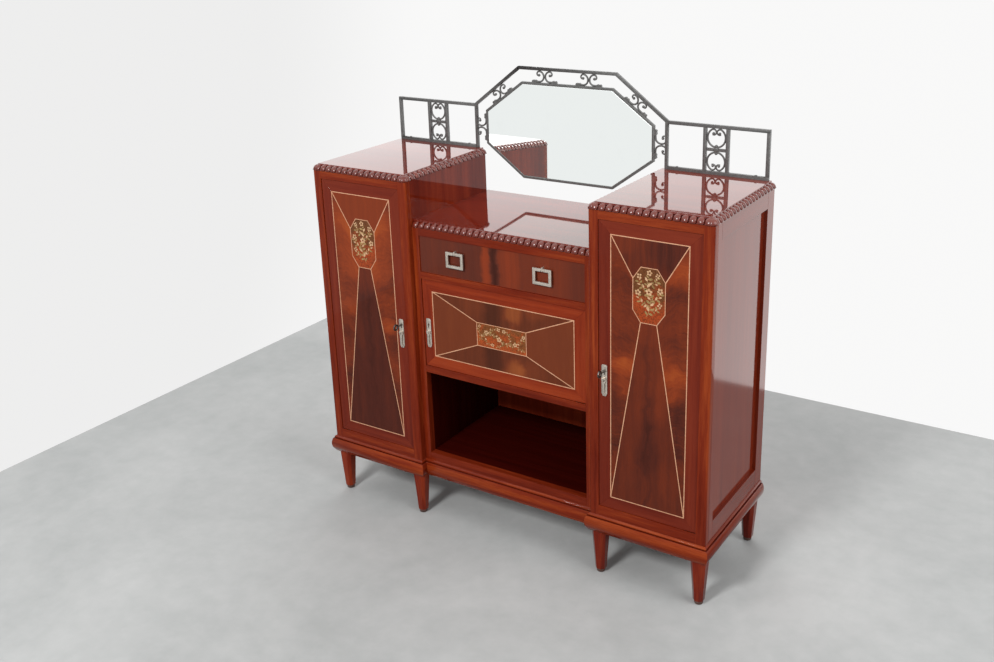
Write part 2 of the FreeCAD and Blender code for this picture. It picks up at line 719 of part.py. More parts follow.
def door_leaf(plan, inlay_corners):
    """Mitred border, flush veneered panel and its marquetry plaque."""
    name = plan.name
    border = box(name + "_border_blank", (plan.left, plan.right), (plan.face, plan.back),
                 (plan.bottom, plan.top))
    middle_z = (value(plan.bottom) + value(plan.top)) / 2
    border = rounded(name + "_border_rounded", border, "pivot_inset",
                     [(value(plan.right), value(depth(plan.face)), middle_z)])
    field_x = (plan.left + " + door_border", plan.right + " - door_border")
    field_z = (plan.bottom + " + door_border", plan.top + " - door_border")
    window = box(name + "_window", field_x, (plan.face + " - 1", plan.back + " + 1"), field_z)
    bores = [cylinder("%s_pivot_bore%d" % (name, number), "z", "pivot_radius + pivot_play",
                      plan.pivot_x, plan.pivot_y, start, "pivot_length + 1.5")
             for number, start in enumerate((plan.bottom + " - 1", plan.top + " - pivot_length - 0.5"))]
    frame = cut(name + "_door_frame", border, window, *bores,
                keyhole(plan, plan.face + " - 1", plan.back + " + 1"))
    panel_blank = box(name + "_panel_blank", field_x, (plan.face, plan.face + " + panel_thickness"), field_z)
    plaque = slice_solid(name + "_medallion", "XZ", inlay_corners, plan.face,
                         plan.face + " + inlay_thickness")
    panel = cut(name + "_door_panel", panel_blank, plaque)
    return frame, panel, plaque


def hinge_pins(plan):
    """Leaf plates let into the rails, with the pins that the door turns on."""
    leaves = []
    across = (plan.opening_right + " - leaf_length", plan.opening_right)
    ends = ((plan.sill, "-", plan.sill + " - leaf_thickness / 2"),
            (plan.head, "+", plan.top + " - pivot_length"))
    for number, (level, way, start) in enumerate(ends):
        plate = leaf_plate("%s_leaf%d" % (plan.name, number), across, plan.wall, level, way)
        pin = cylinder("%s_pin%d" % (plan.name, number), "z", "pivot_radius", plan.pivot_x, plan.pivot_y,
                       start, "pivot_length + door_gap + leaf_thickness / 2")
        leaves.append(fuse("%s_hinge%d" % (plan.name, number), plate, pin))
    return leaves


def lock_case(plan):
    """Box on the inside of the door, hollow for the bolt and the turning key."""
    name = plan.name + "_lock"
    case = box(name, (plan.lock_left, plan.lock_left + " + lock_width"),
               (plan.back, plan.back + " + lock_depth"), (plan.lock_bottom, plan.lock_top))
    channel = box(name + "_channel", (plan.lock_left + " - 1", plan.lock_left + " + lock_width - lock_wall"),
                  (plan.back + " + 2 - bolt_play", plan.back + " + 2 + bolt_thickness + bolt_play"),
                  (plan.bolt_bottom + " - bolt_play", plan.bolt_bottom + " + bolt_height + bolt_play"))
    swing = cylinder(name + "_swing", "y", "key_shaft_radius + key_bit_reach + 1", plan.key_x,
                     plan.back + " + lock_wall", plan.key_z, "lock_depth - 2 * lock_wall")
    tip = cylinder(name + "_tip", "y", "key_shaft_radius + pivot_play", plan.key_x,
                   plan.back + " + lock_depth / 2", plan.key_z, "lock_depth")
    return cut(name + "_case", case, channel, swing, tip,
               keyhole(plan, plan.back + " - 1", plan.back + " + 3"))


def lock_bolt(plan):
    """Sliding bolt, drawn back at rest so that the door is free."""
    left = plan.lock_left + " + 0.5"
    return box(plan.name + "_bolt", (left, left + " + bolt_length"),
               (plan.back + " + 2", plan.back + " + 2 + bolt_thickness"),
               (plan.bolt_bottom, plan.bolt_bottom + " + bolt_height"))


def escutcheon(plan):
    """Tall plate with a pointed foot, keyhole and the two ears of the drop handle."""
    name = plan.name + "_escutcheon"
    left = plan.key_x + " - escutcheon_width / 2"
    right = plan.key_x + " + escutcheon_width / 2"
    top = plan.key_z + " + escutcheon_above_key"
    bottom = top + " - escutcheon_height"
    corners = [(left, bottom + " + 9"), (plan.key_x + " - 5", bottom), (plan.key_x + " + 5", bottom),
               (right, bottom + " + 9"), (right, top + " - 4"), (plan.key_x + " + 6", top),
               (plan.key_x + " - 6", top), (left, top + " - 4")]
    plate = slice_solid(name + "_plate", "XZ", corners, plan.plate_face, plan.face)
    plate = cut(name + "_pierced", plate, keyhole(plan, plan.plate_face + " - 1", plan.face + " + 1"))
    lug = box(name + "_lug", (plan.key_x + " - drop_lug_width / 2", plan.key_x + " + drop_lug_width / 2"),
              (plan.drop_y + " - 3", plan.plate_face), (plan.drop_z + " - 3", plan.drop_z + " + 3"))
    bore = cylinder(name + "_bore", "x", "drop_pin_radius + drop_pin_play", plan.key_x + " - drop_width / 2",
                    plan.drop_y, plan.drop_z, "drop_width")
    return cut(name, fuse(name + "_lugged", plate, lug), bore)


def drop_handle(plan):
    """Forked drop that hangs from a pin through the plate's lug."""
    name = plan.name + "_drop"
    half = [("drop_width / 2", "2.5"), ("drop_lug_width / 2 + drop_side_play", "2.5"),
            ("drop_lug_width / 2 + drop_side_play", "-5"), ("0", "-9"),
            ("-drop_lug_width / 2 - drop_side_play", "-5"), ("-drop_lug_width / 2 - drop_side_play", "2.5"),
            ("-drop_width / 2", "2.5"), ("-drop_width / 2", "-5"), ("-2.6", "-15"),
            ("-2.2", "8 - drop_length"), ("-3.6", "5 - drop_length"), ("0", "-drop_length"),
            ("3.6", "5 - drop_length"), ("2.2", "8 - drop_length"), ("2.6", "-15"), ("drop_width / 2", "-5")]
    corners = [("%s + (%s)" % (plan.key_x, u), "%s + (%s)" % (plan.drop_z, v)) for u, v in half]
    fork = slice_solid(name + "_fork", "XZ", corners, plan.drop_y + " - drop_thickness / 2",
                       plan.drop_y + " + drop_thickness / 2")
    pin = cylinder(name + "_pin", "x", "drop_pin_radius", plan.key_x + " - drop_width / 2 + 0.5", plan.drop_y,
                   plan.drop_z, "drop_width - 1")
    return fuse(name, fork, pin)


def key(plan):
    """Key with a bit inside the lock and a ring bow outside."""
    name = plan.name + "_key"
    collar_y = plan.plate_face + " - 3"
    shaft = cylinder(name + "_shaft", "y", "key_shaft_radius", plan.key_x, plan.plate_face + " - key_reach",
                     plan.key_z, "key_reach + escutcheon_thickness + door_thickness + lock_depth")
    collar = cylinder(name + "_collar", "y", "key_shaft_radius + 2", plan.key_x, collar_y, plan.key_z, "2")
    bit = box(name + "_bit",
              (plan.key_x + " - key_bit_thickness / 2", plan.key_x + " + key_bit_thickness / 2"),
              (plan.back + " + 3.5", plan.back + " + 3.5 + key_bit_width"),
              (plan.key_z + " - key_shaft_radius - key_bit_reach", plan.key_z))
    centre_y = plan.plate_face + " - key_reach - key_bow_hole"
    ring = cylinder(name + "_ring", "x", "key_bow_radius", plan.key_x + " - key_bow_thickness / 2", centre_y,
                    plan.key_z, "key_bow_thickness")
    eye = cylinder(name + "_bow_eye", "x", "key_bow_hole", plan.key_x + " - key_bow_thickness", centre_y,
                   plan.key_z, "key_bow_thickness * 2")
    return cut(name, fuse(name + "_blank", shaft, collar, bit, ring), eye)


def centre_strike_tools():
    """Seat of the strike and the bolt's mortise in the centre's left side."""
    plan = CENTRE_DOOR
    seat = centre_strike_blank("centre_strike_seat")
    mortise = box("centre_mortise", (plan.opening_left + " - bolt_throw - 2", plan.opening_left + " + 1"),
                  (plan.back + " + 1", plan.back + " + 3 + bolt_thickness"),
                  (plan.bolt_bottom + " - 1", plan.bolt_bottom + " + bolt_height + 1"))
    return seat, mortise


def centre_strike_blank(name):
    """Strike plate of the centre lock, flush with the side's face."""
    plan = CENTRE_DOOR
    return box(name, (plan.opening_left + " - strike_thickness", plan.opening_left),
               (plan.back + " - 0.5", plan.back + " + 5 + bolt_thickness"),
               (plan.bolt_bottom + " - 8", plan.bolt_bottom + " + bolt_height + 8"))


def strikes():
    """Plates that the bolts shoot behind or into."""
    plan = SIDE_DOOR
    side = box("side_strike", (plan.opening_left + " - 12", plan.opening_left),
               ("stile_depth", "stile_depth + strike_thickness"),
               (plan.bolt_bottom + " - 8", plan.bolt_bottom + " + bolt_height + 8"))
    window = box("centre_strike_window", (CENTRE_DOOR.opening_left + " - strike_thickness - 1",
                                          CENTRE_DOOR.opening_left + " + 1"),
                 (CENTRE_DOOR.back + " + 1", CENTRE_DOOR.back + " + 3 + bolt_thickness"),
                 (CENTRE_DOOR.bolt_bottom + " - 1", CENTRE_DOOR.bolt_bottom + " + bolt_height + 1"))
    centre = cut("centre_strike", centre_strike_blank("centre_strike_plate"), window)
    keep("strike_plates", group("strike_plates", side, mirrored("left_strike", side), centre))


def doors():
    """The three doors and everything on them."""
    leaves = []
    side_middle = "((%s + %s) / 2)" % (SIDE_DOOR.opening_left, SIDE_DOOR.opening_right)
    side_inlay = octagon("(medallion_width / 2)", "(medallion_height / 2)", "medallion_cut_width",
                         "medallion_cut_height", side_middle, SIDE_DOOR.sill + " + medallion_level")
    centre_middle = "((%s + %s) / 2)" % (CENTRE_DOOR.sill, CENTRE_DOOR.head)
    centre_inlay = [("-plaque_width / 2", centre_middle + " - plaque_height / 2"),
                    ("plaque_width / 2", centre_middle + " - plaque_height / 2"),
                    ("plaque_width / 2", centre_middle + " + plaque_height / 2"),
                    ("-plaque_width / 2", centre_middle + " + plaque_height / 2")]
    for plan, inlay in ((SIDE_DOOR, side_inlay), (CENTRE_DOOR, centre_inlay)):
        frame, panel, plaque = door_leaf(plan, inlay)
        pieces = {"door_frame": frame, "door_panel": panel, "door_medallion": plaque,
                  "lock_case": lock_case(plan), "lock_bolt": lock_bolt(plan), "escutcheon": escutcheon(plan),
                  "drop_handle": drop_handle(plan)}
        if plan is SIDE_DOOR:
            pieces["key"] = key(plan)
        for name, piece in pieces.items():
            if plan is SIDE_DOOR:
                both_hands(name, piece)
            else:
                keep("centre_" + name, piece)
        pins = hinge_pins(plan)
        leaves += pins
        if plan is SIDE_DOOR:
            leaves += [mirrored("left_hinge%d" % number, pin) for number, pin in enumerate(pins)]
    keep("hinge_pivots", group("hinge_pivots", *leaves))


# ---------------------------------------------------------------------------------------------
# Drawer and its ring pulls
# ---------------------------------------------------------------------------------------------
def drawer():
    """Front, dovetailed box on a running gap, posts and square ring pulls."""
    face = "(centre_recess + door_setback)"
    front_back = "(centre_recess + door_setback + door_thickness)"
    bottom = DRAWER_SILL + " + door_gap"
    top = DRAWER_HEAD + " - door_gap"
    half = "(%s - door_gap)" % CENTRE_OPENING
    run = DRAWER_SILL + " + runner_play"
    tail = "(%s - drawer_back_gap)" % BACK_FACE
    keep("drawer_front", box("drawer_front", ("-" + half, half), (face, front_back), (bottom, top)))
    side = box("drawer_right_side", (half + " - drawer_side", half), (front_back, tail),
               (run, run + " + drawer_side_height"))
    inner = ("-(%s - drawer_side)" % half, half + " - drawer_side")
    back = box("drawer_back", inner, (tail + " - drawer_side", tail),
               (run + " + drawer_bottom", run + " + drawer_side_height"))
    bottom_board = box("drawer_bottom", inner, (front_back, tail), (run, run + " + drawer_bottom"))
    keep("drawer_box", group("drawer_box", side, mirrored("drawer_left_side", side), back, bottom_board))

    middle_z = "((%s + %s) / 2)" % (DRAWER_SILL, DRAWER_HEAD)
    hang = middle_z + " + pull_height / 2 - pull_band / 2"
    centre_x = "pull_spacing / 2"
    pin_y = face + " - pull_stand_off"
    corners = [("-post_foot / 2", "-pull_band / 2"), ("post_foot / 2", "-pull_band / 2"),
               ("post_width / 2", "(post_width - post_foot - pull_band) / 2"),
               ("post_width / 2", "pull_band / 2"), ("0", "pull_band / 2 + post_peak"),
               ("-post_width / 2", "pull_band / 2"),
               ("-post_width / 2", "(post_width - post_foot - pull_band) / 2")]
    post = slice_solid("right_post_blank", "XZ",
                       [("%s + (%s)" % (centre_x, u), "%s + (%s)" % (hang, v)) for u, v in corners],
                       pin_y + " - pull_thickness / 2", face)
    bore = cylinder("post_bore", "x", "pull_pin_radius + pull_pin_play", centre_x + " - post_width", pin_y,
                    hang, "post_width * 2")
    right_post = cut("right_post", post, bore)
    keep("pull_posts", group("pull_posts", right_post, mirrored("left_post", right_post)))

    thickness = (pin_y + " - pull_thickness / 2", pin_y + " + pull_thickness / 2")
    low = middle_z + " - pull_height / 2"
    high = middle_z + " + pull_height / 2"
    plate = box("ring_plate", (centre_x + " - pull_width / 2", centre_x + " + pull_width / 2"), thickness,
                (low, high))
    clear = (pin_y + " - pull_thickness", pin_y + " + pull_thickness")
    hole = box("ring_hole",
               (centre_x + " - pull_width / 2 + pull_band", centre_x + " + pull_width / 2 - pull_band"),
               clear, (low + " + pull_band", high + " - pull_band"))
    neck = box("ring_neck",
               (centre_x + " - post_width / 2 - post_play", centre_x + " + post_width / 2 + post_play"),
               clear, (high + " - pull_band - 1", high + " + 1"))
    pin = cylinder("ring_pin", "x", "pull_pin_radius", centre_x + " - post_width / 2 - 3", pin_y, hang,
                   "post_width + 6")
    both_hands("ring_pull", fuse("ring_pull", cut("ring", plate, hole, neck), pin))


# ---------------------------------------------------------------------------------------------
# Iron gallery and mirror
# ---------------------------------------------------------------------------------------------
UPRIGHT = "(%s + gallery_inset)" % INNER
RAIL_START = "(%s + gallery_inset + iron_bar)" % INNER
RAIL_END = "(%s - gallery_end)" % HALF
GALLERY_TOP = "(%s + gallery_height)" % SLAB_TOP
PANEL_MIDDLE = "((%s + %s) / 2 - iron_bar / 2)" % (RAIL_START, RAIL_END)
ARCH_TOP = "(%s + arch_rise)" % GALLERY_TOP
MIRROR_TOP = "(%s - iron_bar - mirror_gap)" % ARCH_TOP
MIRROR_BOTTOM = "(%s + mirror_clearance)" % CENTRE_SLAB_TOP
MIRROR_SIDE = "(%s - mirror_margin)" % INNER
IRON = (IRON_FRONT, IRON_BACK)
SCROLL_Y = (IRON_FRONT + " + (iron_bar - scroll_depth) / 2", IRON_FRONT + " + (iron_bar + scroll_depth) / 2")


def gallery_screw_places():
    """Screws through each bottom rail, one near each end."""
    return (RAIL_START + " + 30", RAIL_END + " - iron_bar - 30")


def gallery():
    """Rail of square bar on each tall cupboard, with a narrow scroll panel."""
    bottom = (SLAB_TOP, SLAB_TOP + " + iron_bar")
    top = (GALLERY_TOP + " - iron_bar", GALLERY_TOP)
    between = (SLAB_TOP + " + iron_bar", GALLERY_TOP + " - iron_bar")
    foot = box("gallery_foot_blank", (RAIL_START, RAIL_END), IRON, bottom)
    bores = [cylinder("foot_bore%d" % number, "z", "gallery_screw_radius", x, IRON_MIDDLE,
                      SLAB_TOP + " - 1", "iron_bar + 2") for number, x in enumerate(gallery_screw_places())]
    bars = [cut("gallery_foot", foot, *bores), box("gallery_head", (RAIL_START, RAIL_END), IRON, top)]
    left = PANEL_MIDDLE + " - scroll_panel_width / 2"
    right = PANEL_MIDDLE + " + scroll_panel_width / 2"
    for number, (low, high) in enumerate(((RAIL_END + " - iron_bar", RAIL_END), (left + " - iron_bar", left),
                                          (right, right + " + iron_bar"))):
        bars.append(box("gallery_post%d" % number, (low, high), IRON, between))
    both_hands("gallery_rail", group("gallery_rail", *bars))

    panel = scroll_panel(left, right)
    keep("gallery_scrolls", group("gallery_scrolls", panel, mirrored("left_scroll_panel", panel)))

    screws = []
    for number, x in enumerate(gallery_screw_places()):
        shank = cylinder("screw_shank%d" % number, "z", "gallery_screw_radius", x, IRON_MIDDLE,
                         SLAB_TOP + " - gallery_screw_length", "gallery_screw_length + iron_bar")
        head = cylinder("screw_head%d" % number, "z", "gallery_screw_radius * 1.6", x, IRON_MIDDLE,
                        SLAB_TOP + " + iron_bar", "2")
        screws.append(fuse("screw%d" % number, shank, head))
    right_screws = group("right_screws", *screws)
    keep("gallery_screws", group("gallery_screws", right_screws, mirrored("left_screws", right_screws)))


def arch():
    """Two uprights, two slanted bars and a top bar, mitred at their corners."""
    slant = "sqrt(arch_cut_width^2 + arch_rise^2)"
    shoulder = "(%s + iron_bar * (arch_rise - %s) / arch_cut_width)" % (GALLERY_TOP, slant)
    outer_flat = "(%s - arch_cut_width)" % RAIL_START
    inner_flat = "(%s + iron_bar * (arch_cut_width - %s) / arch_rise)" % (outer_flat, slant)
    inner_top = "(%s - iron_bar)" % ARCH_TOP
    upright = slice_solid("upright", "XZ", [(UPRIGHT, SLAB_TOP), (RAIL_START, SLAB_TOP),
                                            (RAIL_START, GALLERY_TOP), (UPRIGHT, shoulder)], *IRON)
    slanted = slice_solid("slanted_bar", "XZ", [(UPRIGHT, shoulder), (RAIL_START, GALLERY_TOP),
                                                (outer_flat, ARCH_TOP), (inner_flat, inner_top)], *IRON)
    crown = slice_solid("crown_bar", "XZ", [(inner_flat, inner_top), (outer_flat, ARCH_TOP),
                                            ("-" + outer_flat, ARCH_TOP), ("-" + inner_flat, inner_top)],
                        *IRON)
    keep("arch_frame", group("arch_frame", upright, mirrored("left_upright", upright), slanted,
                             mirrored("left_slanted_bar", slanted), crown))


def mirror():
    """Octagonal iron frame, bevelled plate glass and its backing board."""
    half_height = "((%s - %s) / 2)" % (MIRROR_TOP, MIRROR_BOTTOM)
    middle = "((%s + %s) / 2)" % (MIRROR_TOP, MIRROR_BOTTOM)
    shape = (MIRROR_SIDE, half_height, "mirror_cut_width", "mirror_cut_height", "0", middle)
    rim = slice_solid("mirror_rim", "XZ", octagon(*shape), *IRON)
    opening = slice_solid("mirror_opening", "XZ", octagon(*shape, inset="mirror_frame_width"),
                          IRON_FRONT + " - 1", IRON_BACK + " + 1")
    keep("mirror_frame", cut("mirror_frame", rim, opening))
    glass_back = "(%s + 1 + glass_thickness)" % IRON_FRONT
    inside = octagon(*shape, inset="mirror_frame_width")
    keep("mirror_glass", slice_solid("mirror_glass", "XZ", inside, IRON_FRONT + " + 1", glass_back))
    keep("mirror_backboard", slice_solid("mirror_backboard", "XZ", inside, glass_back,
                                         glass_back + " + mirror_back_thickness"))


def turned(vector, degrees):
    """A flat vector turned anticlockwise."""
    return Rotation(Vector(0, 0, 1), degrees).multVec(vector)


def forged_bar(body, name, start, heading, stretches):
    """Flat bar swept along straight and curved stretches in the XZ plane, ending in a round knob.

    A stretch is (length, None) or (radius, turn in degrees, positive to the left).
    """
    path = body.newObject("Sketcher::SketchObject", name + "_path")
    path.AttachmentSupport = [(origin_plane(body, "XZ_Plane"), "")]
    path.MapMode = "FlatFace"
    place = Vector(value(start[0]), value(start[1]), 0)
    way = Vector(heading, 0, 0)
    for size, turn in stretches:
        if turn is None:
            goal = place + way * value(size)
            path.addGeometry(Part.LineSegment(place, goal), False)
        else:
            left = Vector(-way.y, way.x, 0)
            centre = place + left * math.copysign(value(size), turn)
            goal = centre + turned(place - centre, turn)
            middle = centre + turned(place - centre, turn / 2)
            path.addGeometry(Part.Arc(place, middle, goal), False)
            way = turned(way, turn)
        place = goal
    section = outline(body, name + "_section", "YZ",
                      [("-scroll_depth / 2", start[1] + " - scroll_bar / 2"),
                       ("scroll_depth / 2", start[1] + " - scroll_bar / 2"),
                       ("scroll_depth / 2", start[1] + " + scroll_bar / 2"),
                       ("-scroll_depth / 2", start[1] + " + scroll_bar / 2")])
    shift_sketch(section, start[0])
    sweep = body.newObject("PartDesign::AdditivePipe", name + "_sweep")
    sweep.Profile = section
    sweep.Spine = path
    knob_outline = body.newObject("Sketcher::SketchObject", name + "_knob_outline")
    knob_outline.AttachmentSupport = [(origin_plane(body, "XZ_Plane"), "")]
    knob_outline.MapMode = "FlatFace"
    shift_sketch(knob_outline, "-scroll_depth / 2")
    knob_outline.addGeometry(Part.Circle(place, Vector(0, 0, 1), value("scroll_ball")), False)
    knob = body.newObject("PartDesign::Pad", name + "_knob")
    knob.Profile = knob_outline
    knob.setExpression("Length", bind("scroll_depth"))
    return sweep, knob


def paired(body, name, features):
    """The same features again on the other side of the body's own YZ plane."""
    twin = body.newObject("PartDesign::Mirrored", name + "_pair")
    twin.Originals = features
    twin.MirrorPlane = (origin_plane(body, "YZ_Plane"), "")
    body.Tip = twin
    return body


def set_down(body, x, z, degrees):
    """Stand a body, drawn about its own origin, on the iron's middle plane, leaning to the right."""
    body.Placement = Placement(Vector(value(x), value(depth(IRON_MIDDLE)), value(z)),
                               Rotation(Vector(0, 1, 0), degrees))
    return body


def scroll_panel(left, right):
    """Cross bar with a collar between two hearts of scrolled bar, one upright and one hanging."""
    middle = "((%s + %s) / 2)" % (SLAB_TOP, GALLERY_TOP)
    cross = box("panel_cross", (left, right), SCROLL_Y,
                (middle + " - panel_cross_height / 2", middle + " + panel_cross_height / 2"))
    collar = cylinder("panel_collar", "y", "panel_collar", PANEL_MIDDLE, SCROLL_Y[0] + " - 1", middle,
                      "scroll_depth + 2")
    beads = [cylinder("panel_bead%d" % number, "y", "scroll_ball", PANEL_MIDDLE, SCROLL_Y[0] + " - 1",
                      "%s %s (panel_cross_height / 2 + scroll_bar + scroll_ball - 1)" % (middle, way),
                      "scroll_depth + 2") for number, way in enumerate("-+")]
    side_turn = 60
    cosine = math.cos(math.radians(side_turn))
    sine = math.sin(math.radians(side_turn))
    bend = "(scroll_panel_width / 2 - scroll_bar / 2)"
    curl = "((%s * %.6f - scroll_bar * 0.45) / %.6f)" % (bend, cosine, 1 + cosine)
    height = "((gallery_height - 2 * iron_bar - panel_cross_height) / 2 - scroll_bar)"
    rise = "(%s - %s - %s * %.6f - %s * %.6f)" % (height, bend, bend, sine, curl, 1 - sine)
    hearts = []
    for number, lean in enumerate((0, 180)):
        body = doc.addObject("PartDesign::Body", "panel_heart%d" % number)
        features = forged_bar(body, "heart%d" % number, ("0", "panel_cross_height / 2 + scroll_bar / 2"), 1,
                              [(bend, 90), (rise, None), (bend, side_turn), (curl, 300 - side_turn)])
        hearts.append(set_down(paired(body, "heart%d" % number, list(features)), PANEL_MIDDLE, middle, lean))
    bound_bar = cut("bound_bar", fuse("panel_bar", cross, collar, *beads), *hearts)
    return group("scroll_panel", bound_bar, *hearts)


def scroll_pair(name, gap, x, z, lean):
    """Two scrolls back to back, standing on the mirror frame and reaching the bar a gap away."""
    upper_turn = 45
    sine = math.sin(math.radians(upper_turn))
    upper = "(scroll_curl * 2.6)"
    start = ("scroll_bar * 0.45 + scroll_foot + scroll_tail", "scroll_bar / 2")
    rise = "(%s - scroll_bar - scroll_foot - %s * %.6f - scroll_curl * %.6f)" % (gap, upper, sine, 1 - sine)
    body = doc.addObject("PartDesign::Body", name)
    leaf = outline(body, name + "_leaf_outline", "XZ",
                   [(start[0] + " - 5", "0"), (start[0] + " + 7", "0"), (start[0] + " + 7", "scroll_bar"),
                    (start[0] + " + 3", "scroll_bar * 1.5"), (start[0] + " - 5", "scroll_bar")])
    shift_sketch(leaf, "-scroll_depth / 2")
    tip = body.newObject("PartDesign::Pad", name + "_leaf")
    tip.Profile = leaf
    tip.setExpression("Length", bind("scroll_depth"))
    features = forged_bar(body, name, start, -1,
                          [("scroll_tail", None), ("scroll_foot", -90), (rise, None), (upper, -upper_turn),
                           ("scroll_curl", -(270 - upper_turn))])
    return set_down(paired(body, name, [tip] + list(features)), x, z, lean)


def scroll_pairs():
    """Six scroll pairs that hold the mirror in the arch: two above, two on the slants, two at the sides."""
    shoulder = "(%s - mirror_cut_height)" % MIRROR_TOP
    low = Vector(value(MIRROR_SIDE), 0, value(shoulder))
    high = Vector(value(MIRROR_SIDE + " - mirror_cut_width"), 0, value(MIRROR_TOP))
    edge = (high - low).normalize()
    outward = Vector(edge.z, 0, -edge.x)
    foot = low + edge * value("slant_scroll_place")
    bar_low = Vector(value(RAIL_START), 0, value(GALLERY_TOP))
    bar_high = Vector(value(RAIL_START + " - arch_cut_width"), 0, value(ARCH_TOP))
    bar_edge = (bar_high - bar_low).normalize()
    bar_outward = Vector(bar_edge.z, 0, -bar_edge.x)
    reach = ((bar_low - foot).dot(bar_outward) - value("iron_bar")) / outward.dot(bar_outward)
    reach -= value("slant_play")
    lean = math.degrees(math.atan2(outward.x, outward.z))
    pairs = [scroll_pair("top_scroll", "mirror_gap", "top_scroll_place", MIRROR_TOP, 0),
             scroll_pair("slant_scroll", "%.6f" % reach, "%.6f" % foot.x, "%.6f" % foot.z, lean),
             scroll_pair("side_scroll", "(gallery_inset + mirror_margin)", MIRROR_SIDE,
                         shoulder + " - side_scroll_drop", 90)]
    right = group("right_scroll_pairs", *pairs)
    keep("mirror_scrolls", group("mirror_scrolls", right, mirrored("left_scroll_pairs", right)))


# ---------------------------------------------------------------------------------------------
# Assembly, checks and export
# ---------------------------------------------------------------------------------------------
legs_and_glides()
plinths()
cupboard_carcass()
back_panels()
tops()
centre_section()
doors()
strikes()
drawer()
gallery()
arch()
mirror()
scroll_pairs()
doc.recompute()

for item in doc.Objects:
    faults = [state for state in item.State if state in ("Invalid", "Error")]
    if faults:
        raise RuntimeError("%s is %s" % (item.Label, faults))
for part in parts:
    if part.Shape.isNull() or not part.Shape.isValid() or not part.Shape.Solids:
        raise RuntimeError("%s has no valid solid" % part.Label)

os.makedirs("parts", exist_ok=True)
for part in parts:
    part.Shape.exportStep("parts/%s.step" % part.Label)
print("wrote %d parts" % len(parts))
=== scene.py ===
"""Looks of the break-front chiffonier: polished mahogany, marquetry, wrought iron and mirror glass.

Every length is in metres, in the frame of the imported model: +X right, +Y to the back, +Z up.
"""
import json
import logging
import math
import random
from dataclasses import dataclass
from enum import Enum
from typing import Callable, Iterable, Iterator, Sequence

import bmesh
import bpy
from mathutils import Matrix, Vector

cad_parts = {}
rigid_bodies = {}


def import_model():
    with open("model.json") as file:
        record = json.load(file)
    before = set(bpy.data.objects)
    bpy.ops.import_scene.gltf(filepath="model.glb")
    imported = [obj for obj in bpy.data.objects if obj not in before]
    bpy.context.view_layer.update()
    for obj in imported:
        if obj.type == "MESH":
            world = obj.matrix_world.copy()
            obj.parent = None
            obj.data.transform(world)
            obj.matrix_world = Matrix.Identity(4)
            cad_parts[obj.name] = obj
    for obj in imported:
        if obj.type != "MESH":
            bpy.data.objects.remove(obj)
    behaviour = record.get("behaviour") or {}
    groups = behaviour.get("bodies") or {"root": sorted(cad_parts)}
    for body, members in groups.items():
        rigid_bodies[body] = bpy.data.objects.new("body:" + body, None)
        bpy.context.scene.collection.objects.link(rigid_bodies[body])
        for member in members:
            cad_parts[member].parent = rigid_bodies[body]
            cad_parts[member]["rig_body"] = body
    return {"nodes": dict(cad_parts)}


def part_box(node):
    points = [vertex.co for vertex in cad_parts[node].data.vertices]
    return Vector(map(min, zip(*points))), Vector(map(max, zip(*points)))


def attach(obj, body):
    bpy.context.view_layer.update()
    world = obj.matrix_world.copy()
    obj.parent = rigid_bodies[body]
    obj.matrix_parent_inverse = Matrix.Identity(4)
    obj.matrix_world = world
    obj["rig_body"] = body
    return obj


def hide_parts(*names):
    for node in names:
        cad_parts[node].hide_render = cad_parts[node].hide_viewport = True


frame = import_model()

LOG = logging.getLogger("chiffonier")
MM = 0.001
SHARP = math.radians(32)
SPREAD = (0.7, 1.3)
SAME_PLACE = 0.002 * MM
SAME_PLANE = math.radians(0.4)
TOUCHING = 0.01 * MM
Colour = tuple[float, float, float]
Point = tuple[float, float]
Shoot = tuple[Point, Point, Point, float, float]
Flower = tuple[float, float, float, int, float]


class Axis(Enum):
    """Way that the grain of a board runs."""

    X = 0
    Y = 1
    Z = 2


class Hand(Enum):
    """Side of the piece, seen from the front."""

    RIGHT = 1
    LEFT = -1

    @property
    def word(self) -> str:
        """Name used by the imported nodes."""
        return self.name.lower()


# ---------------------------------------------------------------------------------------------
# Shader expressions
# ---------------------------------------------------------------------------------------------
class Wire:
    """Output socket that is used like a number: a value that varies over a surface."""

    def __init__(self, shader: "Shader", socket: bpy.types.NodeSocket) -> None:
        """Wrap an output socket of a shader's node."""
        self.shader = shader
        self.socket = socket

    def _math(self, operation: str, *values: object) -> "Wire":
        """Add one Math node and return its result."""
        node = self.shader.node("ShaderNodeMath", {"operation": operation}, dict(enumerate(values)))
        return Wire(self.shader, node.outputs[0])

    def __add__(self, other: object) -> "Wire":
        """Sum."""
        return self._math("ADD", self, other)

    __radd__ = __add__

    def __sub__(self, other: object) -> "Wire":
        """Difference."""
        return self._math("SUBTRACT", self, other)

    def __rsub__(self, other: object) -> "Wire":
        """Difference from a number."""
        return self._math("SUBTRACT", other, self)

    def __mul__(self, other: object) -> "Wire":
        """Product."""
        return self._math("MULTIPLY", self, other)

    __rmul__ = __mul__

    def __abs__(self) -> "Wire":
        """Distance from zero."""
        return self._math("ABSOLUTE", self)

    def above(self, level: object) -> "Wire":
        """1 where the value is above the level, else 0."""
        return self._math("GREATER_THAN", self, level)

    def between(self, low: float, high: float) -> "Wire":
        """Smooth step from 0 at low to 1 at high."""
        node = self.shader.node("ShaderNodeMapRange", {"interpolation_type": "SMOOTHSTEP"},
                                {"Value": self, "From Min": low, "From Max": high})
        return Wire(self.shader, node.outputs[0])


